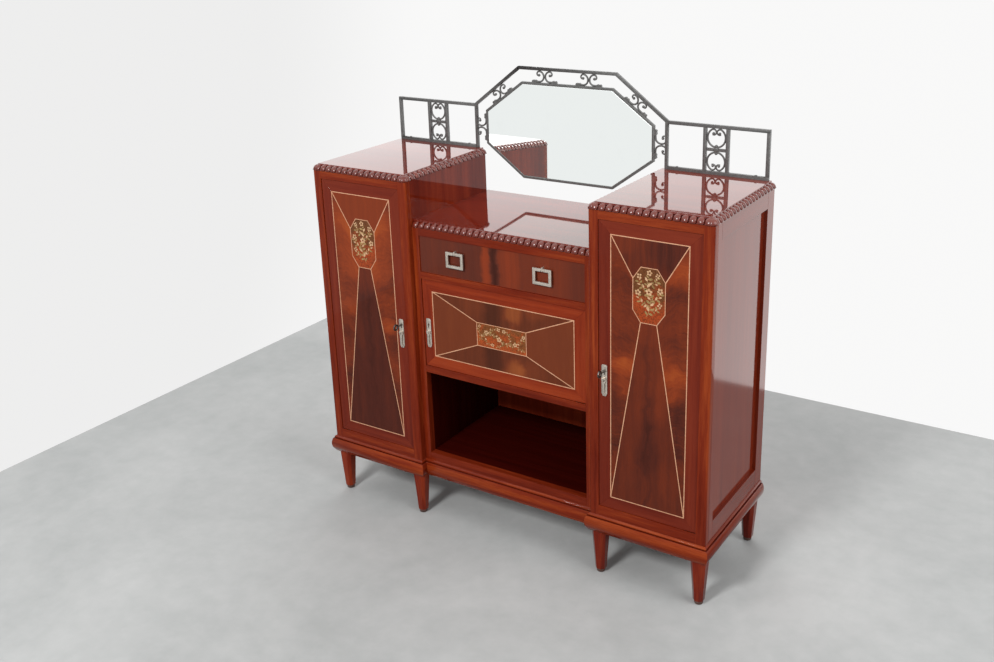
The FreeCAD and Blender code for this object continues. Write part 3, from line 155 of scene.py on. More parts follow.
class Shader:
    """Node tree of one finish, ending in a Principled shader."""

    def __init__(self, name: str, tree: bpy.types.NodeTree | None = None) -> None:
        """Start an empty tree: a new material's, or one that is given."""
        self.material = None
        if tree is None:
            self.material = bpy.data.materials.new(name)
            self.material.use_nodes = True
            tree = self.material.node_tree
        self.tree = tree
        self.tree.nodes.clear()

    def node(self, kind: str, settings: dict[str, object] | None = None,
             sockets: dict[str | int, object] | None = None) -> bpy.types.Node:
        """Add a node.

        Args:
            kind: Blender's name of the node type.
            settings: properties, set first; "stops" holds a ramp's (place, colour) pairs.
            sockets: inputs by name or number, each a value, a Wire or an output socket.

        Returns:
            The new node.
        """
        node = self.tree.nodes.new(kind)
        for name, value in (settings or {}).items():
            if name == "stops":
                self._set_stops(node.color_ramp, value)
            else:
                setattr(node, name, value)
        for key, value in (sockets or {}).items():
            if isinstance(value, Wire):
                self.tree.links.new(value.socket, node.inputs[key])
            elif isinstance(value, bpy.types.NodeSocket):
                self.tree.links.new(value, node.inputs[key])
            else:
                node.inputs[key].default_value = value
        return node

    @staticmethod
    def _set_stops(ramp: bpy.types.ColorRamp, stops: Sequence[tuple[float, Colour]]) -> None:
        """Give a colour ramp exactly these stops."""
        while len(ramp.elements) < len(stops):
            ramp.elements.new(0.5)
        for element, (place, colour) in zip(ramp.elements, stops):
            element.position = place
            element.color = (*colour, 1.0)

    def wire(self, node: bpy.types.Node, output: int | str = 0) -> Wire:
        """Number that leaves a node."""
        return Wire(self, node.outputs[output])

    def coords(self, source: str = "Object") -> bpy.types.NodeSocket:
        """Object coordinates, or the piece's own map of that name."""
        if source == "Object":
            return self.node("ShaderNodeTexCoord").outputs["Object"]
        return self.node("ShaderNodeUVMap", {"uv_map": source}).outputs[0]

    def board_shift(self, vector: bpy.types.NodeSocket, reach: float) -> bpy.types.NodeSocket:
        """Coordinates moved by the board's own number, so that no two boards look alike."""
        board = self.node("ShaderNodeAttribute", {"attribute_name": "board"}).outputs["Fac"]
        way = (reach, reach * SPREAD[0], reach * SPREAD[1])
        step = self.node("ShaderNodeVectorMath", {"operation": "SCALE"}, {0: way, "Scale": board}).outputs[0]
        return self.node("ShaderNodeVectorMath", {"operation": "ADD"}, {0: vector, 1: step}).outputs[0]

    def parts(self, vector: bpy.types.NodeSocket) -> tuple[Wire, ...]:
        """The three numbers of a vector."""
        split = self.node("ShaderNodeSeparateXYZ", {}, {0: vector})
        return tuple(Wire(self, part) for part in split.outputs)

    def flat(self, first: object, second: object) -> bpy.types.NodeSocket:
        """Vector of two numbers."""
        return self.node("ShaderNodeCombineXYZ", {}, {0: first, 1: second}).outputs[0]

    def noise(self, vector: bpy.types.NodeSocket, scale: float, detail: float = 3.0, rough: float = 0.5,
              twist: float = 0.0) -> Wire:
        """Cloudy pattern from 0 to 1."""
        node = self.node("ShaderNodeTexNoise", {}, {"Vector": vector, "Scale": scale, "Detail": detail,
                                                    "Roughness": rough, "Distortion": twist})
        return self.wire(node, "Fac")

    def ramp(self, factor: object, stops: Sequence[tuple[float, Colour]]) -> bpy.types.NodeSocket:
        """Colour picked by a number."""
        return self.node("ShaderNodeValToRGB", {"stops": stops}, {0: factor}).outputs[0]

    def mix(self, first: object, second: object, factor: object) -> bpy.types.NodeSocket:
        """Colours mixed by a factor."""
        first, second = ((*c, 1.0) if isinstance(c, tuple) else c for c in (first, second))
        return self.node("ShaderNodeMix", {"data_type": "RGBA"}, {0: factor, 6: first, 7: second}).outputs[2]

    def bump(self, height: object, depth: float, strength: float = 1.0) -> bpy.types.NodeSocket:
        """Normal of a surface raised by height times depth."""
        sockets = {"Height": height, "Distance": depth, "Strength": strength}
        return self.node("ShaderNodeBump", {}, sockets).outputs[0]

    def principled(self, **sockets: object) -> bpy.types.Material:
        """End the tree in a Principled shader; words of a socket's name are joined by _."""
        named = {name.replace("_", " "): value for name, value in sockets.items()}
        shader = self.node("ShaderNodeBsdfPrincipled", {}, named)
        self.node("ShaderNodeOutputMaterial", {}, {"Surface": shader.outputs[0]})
        return self.material


# ---------------------------------------------------------------------------------------------
# Finishes
# ---------------------------------------------------------------------------------------------
MATT = 0.5
GRIT = 1500.0


def polish(weight: float = 1.0, haze: float = 0.035, depth: float = 1.18) -> dict[str, float]:
    """Sockets of French polish over wood: a clear coat of a strength, haze and refractive index."""
    return {"Specular_IOR_Level": 0.0, "Coat_Weight": weight, "Coat_Roughness": haze, "Coat_IOR": depth}


@dataclass(frozen=True)
class Timber:
    """Straight-grained timber under French polish."""

    name: str
    dark: Colour
    base: Colour
    light: Colour
    streaks: float = 46.0
    coat: float = 1.0
    figure: float = 1.0
    depth: float = 1.18
    haze: float = 0.04
    grain: float = 0.05
    reach: float = 3.0
    broad: float = 0.8
    thin: float = 0.3
    cloudy: float = 0.7
    pore_edge: tuple[float, float] = (0.62, 0.74)
    pore_tone: float = 0.35

    def material(self, axis: Axis) -> bpy.types.Material:
        """The finish with its grain along an axis."""
        shader = Shader(f"{self.name}_{axis.name.lower()}")
        stretch = [1.0, 1.0, 1.0]
        stretch[axis.value] = self.grain
        place = shader.board_shift(shader.coords(), self.reach)
        vector = shader.node("ShaderNodeMapping", {}, {"Vector": place, "Scale": stretch}).outputs[0]
        wide = shader.noise(vector, self.streaks, 4.0, 0.6, 0.25)
        fine = shader.noise(vector, self.streaks * 9, 3.0, 0.7)
        cloud = shader.noise(vector, self.streaks * 0.16, 2.0, 0.5, 0.4)
        tone = (wide - 0.5) * self.broad + (fine - 0.5) * self.thin + (cloud - 0.5) * self.cloudy
        tone = tone * self.figure + 0.5
        colour = shader.ramp(tone, [(0.28, self.dark), (0.5, self.base), (0.72, self.light)])
        pores = shader.noise(vector, self.streaks * 26, 2.0, 0.6).between(*self.pore_edge)
        colour = shader.mix(colour, self.dark, pores * self.pore_tone)
        normal = shader.bump(pores * -1.0 + fine * 0.2, 0.00005, 0.3)
        return shader.principled(Base_Color=colour, Roughness=MATT + fine * 0.1, Normal=normal,
                                 **polish(self.coat, self.haze, self.depth))


@dataclass(frozen=True)
class Patch:
    """Soft oval of a veneer that is lighter than the rest, or darker if its gain is below 0."""

    u: float
    v: float
    wide: float
    tall: float
    gain: float


@dataclass(frozen=True)
class Veneer:
    """Figured veneer laid by its own map: u from the middle line of its panel, v above the floor."""

    name: str
    tones: tuple[Colour, ...]
    level: float
    streaks: tuple[float, float] = (60.0, 2.4)
    contrast: float = 0.45
    feather: float = 0.0
    seam: float = 0.0
    patches: tuple[Patch, ...] = ()
    wander: float = 0.02
    seam_wander: float = 0.07
    seam_edge: tuple[float, float] = (0.014, 0.001)
    patch_wander: tuple[float, float] = (0.035, 0.06)

    def material(self) -> bpy.types.Material:
        """The finish, on the map named veneer."""
        shader = Shader(self.name)
        place = shader.coords(source="veneer")
        across, along, _ = shader.parts(place)
        warp = shader.noise(place, 16.0, 3.0, 0.55, 0.5) - 0.5
        lay = shader.flat((across + warp * self.wander) * self.streaks[0], along * self.streaks[1])
        streak = shader.noise(lay, 1.0, 3.0, 0.6) - 0.5
        fine = shader.noise(lay, 6.0, 3.0, 0.65) - 0.5
        tone = (streak + fine * 0.5) * (2.0 * self.contrast) + self.level
        if self.feather:
            tone = tone + self._feather(shader, across, along, warp) * self.feather
        if self.seam:
            tone = tone - abs(across + warp * self.seam_wander).between(*self.seam_edge) * self.seam
        for patch in self.patches:
            side = (across + warp * self.patch_wander[0] - patch.u) * (1 / patch.wide)
            rise = (along + warp * self.patch_wander[1] - patch.v) * (1 / patch.tall)
            tone = tone + (side * side + rise * rise).between(1.0, 0.0) * patch.gain
        steps = len(self.tones) - 1
        colour = shader.ramp(tone, [(number / steps, shade) for number, shade in enumerate(self.tones)])
        grit = shader.noise(place, GRIT, 2.0, 0.6)
        return shader.principled(Base_Color=colour, Roughness=MATT + grit * 0.06,
                                 Normal=shader.bump(grit, 0.00002, 0.3), **polish())

    @staticmethod
    def _feather(shader: Shader, across: Wire, along: Wire, warp: Wire) -> Wire:
        """Crotch figure: thin strokes that fan out and up from the middle line."""
        pitch, slope, sweep, waver, spread = 34.0, 46.0, 210.0, 3.0, 7.0
        out = abs(across)
        rise = along * pitch - out * slope + out * out * sweep + warp * waver
        lay = shader.flat(rise, out * spread)
        strokes = shader.noise(lay, 2.4, 4.0, 0.7, 0.3) - 0.5
        bands = shader.noise(lay, 0.35, 2.0, 0.5, 0.2) - 0.5
        stroke_tone, band_tone = 1.3, 1.6
        return strokes * stroke_tone + bands * band_tone


@dataclass(frozen=True)
class Burr:
    """Speckled burr with small curls and eyes; one tone lies mostly above the plaque's middle, one below."""

    name: str
    dark: Colour
    above: Colour
    below: Colour
    blend: float
    drift: float = 0.26

    def material(self) -> bpy.types.Material:
        """The finish, on the map named veneer."""
        shader = Shader(self.name)
        place = shader.coords(source="veneer")
        rise = shader.parts(place)[1]
        curl = shader.noise(place, 95.0, 4.0, 0.6, 2.0)
        eyes = shader.node("ShaderNodeTexVoronoi", {"feature": "F1"}, {"Vector": place, "Scale": 330.0})
        cloud = shader.noise(place, 38.0, 3.0, 0.5, 0.6)
        height = rise + (cloud - 0.5) * self.drift
        ground = shader.mix(self.below, self.above, height.between(-self.blend, self.blend))
        spots = (curl * 0.8 + shader.wire(eyes, "Distance") * 0.5).between(0.42, 0.78)
        colour = shader.mix(self.dark, ground, spots * 0.75 + 0.25)
        return shader.principled(Base_Color=colour, Roughness=MATT + curl * 0.06, **polish())


@dataclass(frozen=True)
class Inlay:
    """Small pieces of pale or stained wood, let in with sand-shaded edges."""

    name: str
    base: Colour
    shade: Colour

    def material(self) -> bpy.types.Material:
        """The finish."""
        shader = Shader(self.name)
        place = shader.coords()
        tone = shader.noise(place, 260.0, 3.0, 0.6) * 0.6 + shader.noise(place, 45.0, 2.0, 0.5) * 0.4
        colour = shader.ramp(tone, [(0.36, self.shade), (0.56, self.base)])
        return shader.principled(Base_Color=colour, Roughness=MATT, **polish(haze=0.04))


@dataclass(frozen=True)
class Metal:
    """Hammered, cast or rolled metal."""

    name: str
    dark: Colour
    light: Colour
    metallic: float
    roughness: float
    dents: float
    dent_depth: float

    def material(self) -> bpy.types.Material:
        """The finish."""
        shader = Shader(self.name)
        place = shader.coords()
        dent = shader.node("ShaderNodeTexVoronoi", {"feature": "SMOOTH_F1"},
                           {"Vector": place, "Scale": self.dents, "Smoothness": 0.7})
        height = shader.wire(dent, "Distance")
        worn = shader.noise(place, self.dents * 0.7, 4.0, 0.65)
        colour = shader.mix(self.dark, self.light, worn.between(0.3, 0.75))
        return shader.principled(Base_Color=colour, Metallic=self.metallic,
                                 Roughness=self.roughness + (worn - 0.5) * 0.2,
                                 Normal=shader.bump(height, self.dent_depth, 0.6))


@dataclass(frozen=True)
class Glass:
    """Silvered plate glass that stands a little out of true: turned to the side and leaning back."""

    name: str = "silvered_glass"
    tint: Colour = (0.90, 0.935, 0.925)
    slope: tuple[float, float] = (math.tan(math.radians(0.55)), math.tan(math.radians(3.5)))

    def material(self) -> bpy.types.Material:
        """The finish."""
        shader = Shader(self.name)
        place = shader.coords()
        age = shader.noise(place, 18.0, 4.0, 0.6)
        colour = shader.mix(self.tint, tuple(c * 0.985 for c in self.tint), age.between(0.55, 0.75))
        across, _, rise = shader.parts(place)
        height = across * -self.slope[0] - rise * self.slope[1]
        return shader.principled(Base_Color=colour, Metallic=1.0, Roughness=0.012 + age * 0.01,
                                 Normal=shader.bump(height, 1.0))


@dataclass(frozen=True)
class Plaster:
    """Plain matt ground with faint clouds, for the floor."""

    name: str
    base: Colour
    cloud: Colour

    def material(self) -> bpy.types.Material:
        """The finish."""
        shader = Shader(self.name)
        place = shader.coords()
        tone = shader.noise(place, 1.6, 5.0, 0.6, 0.5) * 0.7 + shader.noise(place, 14.0, 3.0, 0.6) * 0.3
        colour = shader.ramp(tone, [(0.35, self.cloud), (0.65, self.base)])
        return shader.principled(Base_Color=colour, Roughness=0.6 + tone * 0.2, Specular_IOR_Level=0.25)


MAHOGANY = Timber("carcase_mahogany", (0.088, 0.0065, 0.002), (0.170, 0.0185, 0.005), (0.29, 0.048, 0.0105))
# Border of the centre door, lighter than the other borders; part of that is painted light against the shade
# under the centre's top.
PAINTED_LIGHT_BORDER = Timber("small_border_mahogany", (0.128, 0.012, 0.0045), (0.220, 0.026, 0.007),
                       (0.30, 0.045, 0.012), figure=0.8)
BORDER = Timber("door_border_mahogany", (0.090, 0.0095, 0.005), (0.148, 0.0185, 0.008), (0.20, 0.030, 0.012),
                figure=0.8)
TOP_WOOD = Timber("top_mahogany", (0.08, 0.008, 0.004), (0.145, 0.016, 0.008), (0.21, 0.028, 0.011),
                  figure=0.7, depth=1.40)
CARVED_WOOD = Timber("carved_mahogany", (0.06, 0.006, 0.003), (0.110, 0.013, 0.006), (0.17, 0.025, 0.010),
                     figure=0.7, depth=1.42, haze=0.22)
END_WOOD = Timber("end_mahogany", (0.125, 0.014, 0.005), (0.175, 0.020, 0.006), (0.22, 0.029, 0.008),
                  figure=0.5, depth=1.27, haze=0.09)
INNER_WOOD = Timber("inner_side_mahogany", (0.085, 0.007, 0.003), (0.150, 0.015, 0.005),
                    (0.21, 0.026, 0.008), depth=1.20)
LEG_WOOD = Timber("leg_mahogany", (0.075, 0.0040, 0.0015), (0.150, 0.0125, 0.0042), (0.25, 0.033, 0.009),
                  depth=1.22)
# Darker mahogany laid in the plinths' quirk as painted shade.
QUIRK_SHADE_WOOD = Timber("quirk_mahogany", (0.045, 0.004, 0.0015), (0.075, 0.007, 0.0025), (0.11, 0.012, 0.004),
                    coat=0.4, figure=0.5)
# Near-black inside wood: the real inside boards, darkened to stand for the shade in the niche, and also the
# painted shade in the gadroon channels and keyholes.
INTERIOR_AND_SHADE = Timber("interior_mahogany", (0.020, 0.0013, 0.0008), (0.034, 0.0020, 0.0011),
                (0.048, 0.0035, 0.0018), coat=0.3, figure=0.7)
# Back panels lighter than the rest of the inside: painted light on the niche's back.
LIT_BACK_WOOD = Timber("back_panel_mahogany", (0.150, 0.013, 0.005), (0.235, 0.027, 0.009), (0.31, 0.046, 0.015),
                   coat=0.5, figure=0.7)
BACKING = Timber("back_board_wood", (0.10, 0.035, 0.018), (0.17, 0.065, 0.032), (0.24, 0.10, 0.05),
                 coat=0.1)

NIGHT = (0.016, 0.005, 0.0035)
BROWN = (0.070, 0.015, 0.009)
RED = (0.145, 0.025, 0.0095)
RUST = (0.240, 0.040, 0.0110)
FIRE = (0.330, 0.066, 0.0145)
EMBERS = (NIGHT, BROWN, RED, RUST, FIRE)
PLUM = ((0.035, 0.009, 0.006), (0.095, 0.022, 0.013), (0.145, 0.027, 0.012), (0.23, 0.036, 0.0115),
        (0.35, 0.064, 0.0155))
FLAME = Veneer("flame_veneer", EMBERS, 0.47, (30.0, 3.0), 0.13, feather=0.42, patches=(
    Patch(0.100, 1.020, 0.050, 0.060, 0.26), Patch(-0.085, 1.050, 0.070, 0.060, -0.06),
    Patch(0.095, 0.915, 0.075, 0.040, 0.06), Patch(-0.095, 0.925, 0.075, 0.050, 0.12),
    Patch(0.090, 0.795, 0.060, 0.040, -0.08), Patch(-0.085, 0.790, 0.060, 0.035, -0.12),
    Patch(0.085, 0.718, 0.060, 0.040, 0.34),
    Patch(-0.075, 0.718, 0.060, 0.040, 0.38), Patch(0.060, 0.665, 0.060, 0.045, 0.18),
    Patch(-0.060, 0.660, 0.060, 0.045, 0.14), Patch(0.095, 0.540, 0.070, 0.110, -0.22),
    Patch(-0.095, 0.520, 0.070, 0.120, -0.20), Patch(0.100, 0.360, 0.060, 0.080, -0.12)))
SMOULDER = Veneer("smoulder_veneer", EMBERS, 0.46, (30.0, 3.0), 0.12, feather=0.42, patches=(
    Patch(0.000, 0.970, 0.170, 0.200, 0.42), Patch(-0.085, 0.690, 0.060, 0.035, 0.32),
    Patch(0.085, 0.725, 0.060, 0.040, 0.18), Patch(0.090, 0.830, 0.060, 0.035, 0.10),
    Patch(-0.090, 0.840, 0.060, 0.050, -0.05), Patch(0.000, 0.450, 0.160, 0.130, -0.16)))
RUSSET_LEAF = Veneer("russet_veneer", EMBERS, 0.62, (60.0, 2.2), 0.10)
DARK_LEAF = Veneer("dark_veneer", EMBERS, 0.37, (70.0, 2.2), 0.22, patches=(
    Patch(0.070, 1.080, 0.090, 0.090, -0.12), Patch(-0.090, 1.090, 0.070, 0.050, 0.10)))
LONG_LEAF = Veneer("long_veneer", EMBERS, 0.37, (40.0, 4.0), 0.16, seam=0.08, patches=(
    Patch(0.000, 0.845, 0.070, 0.060, 0.14), Patch(0.045, 0.640, 0.030, 0.110, 0.14),
    Patch(0.000, 0.730, 0.070, 0.110, 0.08), Patch(-0.035, 0.560, 0.030, 0.120, 0.05),
    Patch(0.000, 0.480, 0.050, 0.120, -0.10), Patch(0.070, 0.380, 0.040, 0.080, 0.05)))
DUSK_LEAF = Veneer("dusk_veneer", EMBERS, 0.25, (40.0, 4.0), 0.13, seam=0.05, patches=(
    Patch(0.000, 0.850, 0.070, 0.080, 0.16), Patch(0.045, 0.640, 0.030, 0.080, 0.06)))
UMBER = ((0.022, 0.008, 0.004), (0.075, 0.019, 0.009), (0.150, 0.033, 0.0125), (0.255, 0.065, 0.019),
         (0.40, 0.14, 0.035))
QUIET = Veneer("quiet_veneer", UMBER, 0.50, (22.0, 3.0), 0.07)
RIBBON = Veneer("ribbon_veneer", UMBER, 0.38, (55.0, 1.6), 0.12, patches=(
    Patch(-0.030, 0.710, 0.045, 0.300, -0.16), Patch(0.045, 0.800, 0.040, 0.060, 0.30),
    Patch(0.120, 0.815, 0.050, 0.040, 0.14), Patch(0.050, 0.610, 0.045, 0.050, 0.28),
    Patch(-0.110, 0.810, 0.060, 0.060, 0.08), Patch(0.100, 0.620, 0.080, 0.040, 0.10)))
DRAWER_LEAF = Veneer("drawer_veneer", PLUM, 0.33, (60.0, 1.6), 0.14, patches=(
    Patch(-0.050, 0.940, 0.022, 0.300, 0.36), Patch(-0.016, 0.940, 0.020, 0.300, -0.24),
    Patch(0.035, 0.940, 0.050, 0.300, 0.28), Patch(0.160, 0.940, 0.120, 0.300, 0.16),
    Patch(-0.110, 0.940, 0.050, 0.300, -0.08)))
BURR = Burr("burr_ground", (0.06, 0.016, 0.007), (0.150, 0.054, 0.018), (0.34, 0.056, 0.0145), 0.045)
PLAQUE = Burr("plaque_ground", (0.08, 0.020, 0.008), (0.20, 0.066, 0.019), (0.37, 0.070, 0.017), 0.03)
BOXWOOD = Inlay("boxwood_line", (0.66, 0.36, 0.22), (0.50, 0.24, 0.13))
PETAL = Inlay("petal_wood", (0.64, 0.41, 0.24), (0.46, 0.26, 0.13))
LEAF = Inlay("leaf_wood", (0.37, 0.245, 0.100), (0.17, 0.100, 0.034))
STEM = Inlay("stem_wood", (0.42, 0.26, 0.12), (0.22, 0.12, 0.04))
HEART = Inlay("flower_heart_wood", (0.16, 0.045, 0.015), (0.08, 0.02, 0.01))
IRON = Metal("wrought_iron", (0.075, 0.075, 0.073), (0.120, 0.120, 0.118), 0.15, 0.52, 130.0, 0.00022)
NICKEL = Metal("worn_nickel", (0.40, 0.36, 0.31), (0.63, 0.57, 0.50), 0.85, 0.34, 420.0, 0.00010)
STEEL = Metal("lock_steel", (0.20, 0.19, 0.18), (0.42, 0.41, 0.39), 1.0, 0.36, 300.0, 0.00008)
DARK_STEEL = Metal("key_steel", (0.05, 0.045, 0.042), (0.14, 0.125, 0.115), 0.9, 0.36, 300.0, 0.0001)
GLIDE = Metal("glide_iron", (0.05, 0.022, 0.015), (0.10, 0.048, 0.034), 0.1, 0.5, 220.0, 0.0001)


class Paints:
    """Materials, each made once."""

    def __init__(self) -> None:
        """Start with none made."""
        self.made: dict[tuple[str, Axis | None], bpy.types.Material] = {}

    def __call__(self, finish: object, axis: Axis | None = None) -> bpy.types.Material:
        """The material of a finish, with its grain along an axis where it has one."""
        key = (finish.name, axis)
        if key not in self.made:
            self.made[key] = finish.material(axis) if axis is not None else finish.material()
        return self.made[key]


PAINT = Paints()


# ---------------------------------------------------------------------------------------------
# Making meshes
# ---------------------------------------------------------------------------------------------
def linked(name: str, data: bpy.types.ID | None) -> bpy.types.Object:
    """New object in the scene."""
    item = bpy.data.objects.new(name, data)
    bpy.context.scene.collection.objects.link(item)
    return item


def evaluated(piece: bpy.types.Object) -> bpy.types.Mesh:
    """Plain mesh of a piece with its modifiers worked in."""
    graph = bpy.context.evaluated_depsgraph_get()
    return bpy.data.meshes.new_from_object(piece.evaluated_get(graph), depsgraph=graph)


def poured(work: bmesh.types.BMesh, name: str, outward: bool = True) -> bpy.types.Mesh:
    """Mesh made from a bmesh, which is freed, with its faces turned outward unless told otherwise."""
    if outward:
        bmesh.ops.recalc_face_normals(work, faces=work.faces)
    mesh = bpy.data.meshes.new(name)
    work.to_mesh(mesh)
    work.free()
    return mesh


class Bench:
    """Builds one piece from boards, prisms, lofts and turnings, each with its own finish."""

    def __init__(self, hand: Hand = Hand.RIGHT, seed: int = 1) -> None:
        """Clear the bench.

        Args:
            hand: LEFT builds everything mirrored about the middle plane.
            seed: picks the boards' own numbers.
        """
        self.hand = hand.value
        self.mesh = bmesh.new()
        self.board = self.mesh.faces.layers.float.new("board")
        self.veneer = self.mesh.loops.layers.uv.new("veneer")
        self.finishes: list[bpy.types.Material] = []
        self.chance = random.Random(seed)

    def _place(self, point: Sequence[float]) -> Vector:
        """The point on this hand's side."""
        return Vector((point[0] * self.hand, point[1], point[2]))

    def stain(self, faces: Iterable[bmesh.types.BMFace], finish: bpy.types.Material) -> None:
        """Give faces a finish and one board number."""
        if finish not in self.finishes:
            self.finishes.append(finish)
        number = self.chance.random()
        for face in faces:
            face.material_index = self.finishes.index(finish)
            face[self.board] = number

    def extrude(self, outline: Sequence[Sequence[float]], by: Sequence[float],
                finish: bpy.types.Material) -> list[bmesh.types.BMFace]:
        """Solid made by moving a flat outline.

        Args:
            outline: corners in space.
            by: the move.
            finish: material of every face.

        Returns:
            The new faces, the outline's own first.
        """
        rings = [[Vector(p) for p in outline], [Vector(p) + Vector(by) for p in outline]]
        return self.loft(rings, finish)

    def loft(self, rings: Sequence[Sequence[Sequence[float]]],
             finish: bpy.types.Material) -> list[bmesh.types.BMFace]:
        """Skin through rings of equally many points, closed at both ends; the ends come first."""
        rows = [[self.mesh.verts.new(self._place(p)) for p in ring] for ring in rings]
        count = len(rows[0])
        faces = [self.mesh.faces.new(rows[0]), self.mesh.faces.new(rows[-1][::-1])]
        for low, high in zip(rows, rows[1:]):
            for index in range(count):
                following = (index + 1) % count
                faces.append(self.mesh.faces.new((low[index], high[index], high[following], low[following])))
        self.stain(faces, finish)
        return faces

    def block(self, low: Sequence[float], high: Sequence[float],
              finish: bpy.types.Material) -> list[bmesh.types.BMFace]:
        """Straight board between two corners."""
        outline = [(low[0], low[1], low[2]), (high[0], low[1], low[2]), (high[0], low[1], high[2]),
                   (low[0], low[1], high[2])]
        return self.extrude(outline, (0, high[1] - low[1], 0), finish)

    def slip(self, outline: Sequence[Point], front: float, back: float, finish: bpy.types.Material,
             middle: Point = (0.0, 0.0)) -> list[bmesh.types.BMFace]:
        """Flat piece in the XZ plane from y front to y back, with its veneer map about a middle point."""
        faces = self.extrude([(x, front, z) for x, z in outline], (0, back - front, 0), finish)
        for face in faces:
            for corner in face.loops:
                spot = corner.vert.co
                corner[self.veneer].uv = (spot.x * self.hand - middle[0], spot.z - middle[1])
        return faces

    def turning(self, profile: Sequence[Point], centre: Sequence[float], axis: Sequence[float],
                finish: bpy.types.Material, steps: int = 24) -> list[bmesh.types.BMFace]:
        """Turned solid: profile pairs are (distance along the axis, radius)."""
        along = Vector(axis).normalized()
        side = along.orthogonal().normalized()
        cross = along.cross(side)
        rings = []
        for reach, radius in profile:
            rings.append([Vector(centre) + along * reach
                          + (side * math.cos(a) + cross * math.sin(a)) * max(radius, TOUCHING)
                          for a in (math.tau * step / steps for step in range(steps))])
        return self.loft(rings, finish)

    def finish(self, name: str, body: str, slot: str, replaces: Sequence[str] = (),
               bevel: float = 0.0) -> bpy.types.Object:
        """Turn the bench's work into one piece that rides on a body.

        Args:
            name: the piece's name.
            body: CAD body that it rides on.
            slot: material slot of the record; not used.
            replaces: CAD nodes that it stands for.
            bevel: width of the softened edges.

        Returns:
            The piece.
        """
        return dress(name, poured(self.mesh, name), self.finishes, body, slot, replaces, bevel)


def dress(name: str, mesh: bpy.types.Mesh, finishes: Sequence[bpy.types.Material], body: str, slot: str,
          replaces: Sequence[str] = (), bevel: float = 0.0) -> bpy.types.Object:
    """Make a mesh into a finished piece on a body, with its edges softened."""
    piece = linked(name, mesh)
    for finish in finishes:
        mesh.materials.append(finish)
    mesh.shade_smooth()
    if bevel:
        softening = piece.modifiers.new("softening", "BEVEL")
        settings = {"width": bevel, "segments": 2, "limit_method": "ANGLE", "angle_limit": SHARP,
                    "harden_normals": True, "use_clamp_overlap": True}
        for setting, value in settings.items():
            setattr(softening, setting, value)
        eased = evaluated(piece)
        piece.modifiers.clear()
        piece.data = eased
    else:
        mesh.set_sharp_from_angle(angle=SHARP)
    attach(piece, body)
    if replaces:
        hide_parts(*replaces)
    return piece


def merged(node: str) -> bmesh.types.BMesh:
    """Copy of a CAD node's mesh with its triangles joined and flat faces made whole."""
    mesh = bmesh.new()
    mesh.from_mesh(frame["nodes"][node].data)
    bmesh.ops.remove_doubles(mesh, verts=mesh.verts, dist=SAME_PLACE)
    bmesh.ops.dissolve_limit(mesh, angle_limit=SAME_PLANE, verts=mesh.verts, edges=mesh.edges)
    return mesh


def softened(node: str, name: str, finish: bpy.types.Material, slot: str, bevel: float,
             pick: Callable[[Vector], int] | None = None,
             finishes: Sequence[bpy.types.Material] = ()) -> bpy.types.Object:
    """CAD node with its edges eased.

    Args:
        node: the CAD node, which the new piece replaces.
        name: the piece's name.
        finish: its material.
        slot: material slot of the record; not used.
        bevel: width of the eased edges.
        pick: number of the finish for a face, from its middle.
        finishes: further materials that pick may choose.

    Returns:
        The piece.
    """
    work = merged(node)
    if pick is not None:
        for face in work.faces:
            face.material_index = pick(face.calc_center_median())
    body = frame["nodes"][node]["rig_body"]
    mesh = poured(work, name, outward=False)
    return dress(name, mesh, [finish, *finishes], body, slot, [node], bevel)


def paint_node(node: str, finish: bpy.types.Material) -> None:
    """Give a CAD node that stays its material."""
    mesh = frame["nodes"][node].data
    mesh.materials.clear()
    mesh.materials.append(finish)


class Network:
    """Geometry Nodes tree that makes a plain mesh from its inputs."""

    def __init__(self, name: str, inputs: dict[str, str], nodes: dict[str, tuple[str, dict[str, object]]],
                 links: Sequence[str]) -> None:
        """Build the tree.

        Args:
            name: the tree's name.
            inputs: kind of each input socket, without the word NodeSocket.
            nodes: label of each node, with its kind and its settings; a setting whose name starts with a
                capital is an input socket.
            links: one "label.output > label.input" for each link; given and out are the tree's own ends.
        """
        self.tree = bpy.data.node_groups.new(name, "GeometryNodeTree")
        sockets = self.tree.interface
        self.inputs = {label: sockets.new_socket(name=label, in_out="INPUT", socket_type=f"NodeSocket{kind}")
                       for label, kind in inputs.items()}
        sockets.new_socket(name="Geometry", in_out="OUTPUT", socket_type="NodeSocketGeometry")
        made = {}
        for label, (kind, settings) in {"given": ("NodeGroupInput", {}), "out": ("NodeGroupOutput", {}),
                                        **nodes}.items():
            made[label] = self.tree.nodes.new(kind)
            for setting, value in settings.items():
                if setting[0].isupper():
                    made[label].inputs[setting].default_value = value
                else:
                    setattr(made[label], setting, value)
        for link in links:
            (source, output), (target, entry) = (end.split(".") for end in link.split(" > "))
            self.tree.links.new(made[source].outputs[output], made[target].inputs[entry])

    def run(self, values: dict[str, object]) -> bpy.types.Mesh:
        """Plain mesh that the tree makes from values of its inputs."""
        holder = linked("holder", bpy.data.meshes.new("holder"))
        layer = holder.modifiers.new("network", "NODES")
        layer.node_group = self.tree
        for name, value in values.items():
            layer[self.inputs[name].identifier] = value
        mesh = evaluated(holder)
        bpy.data.objects.remove(holder)
        return mesh


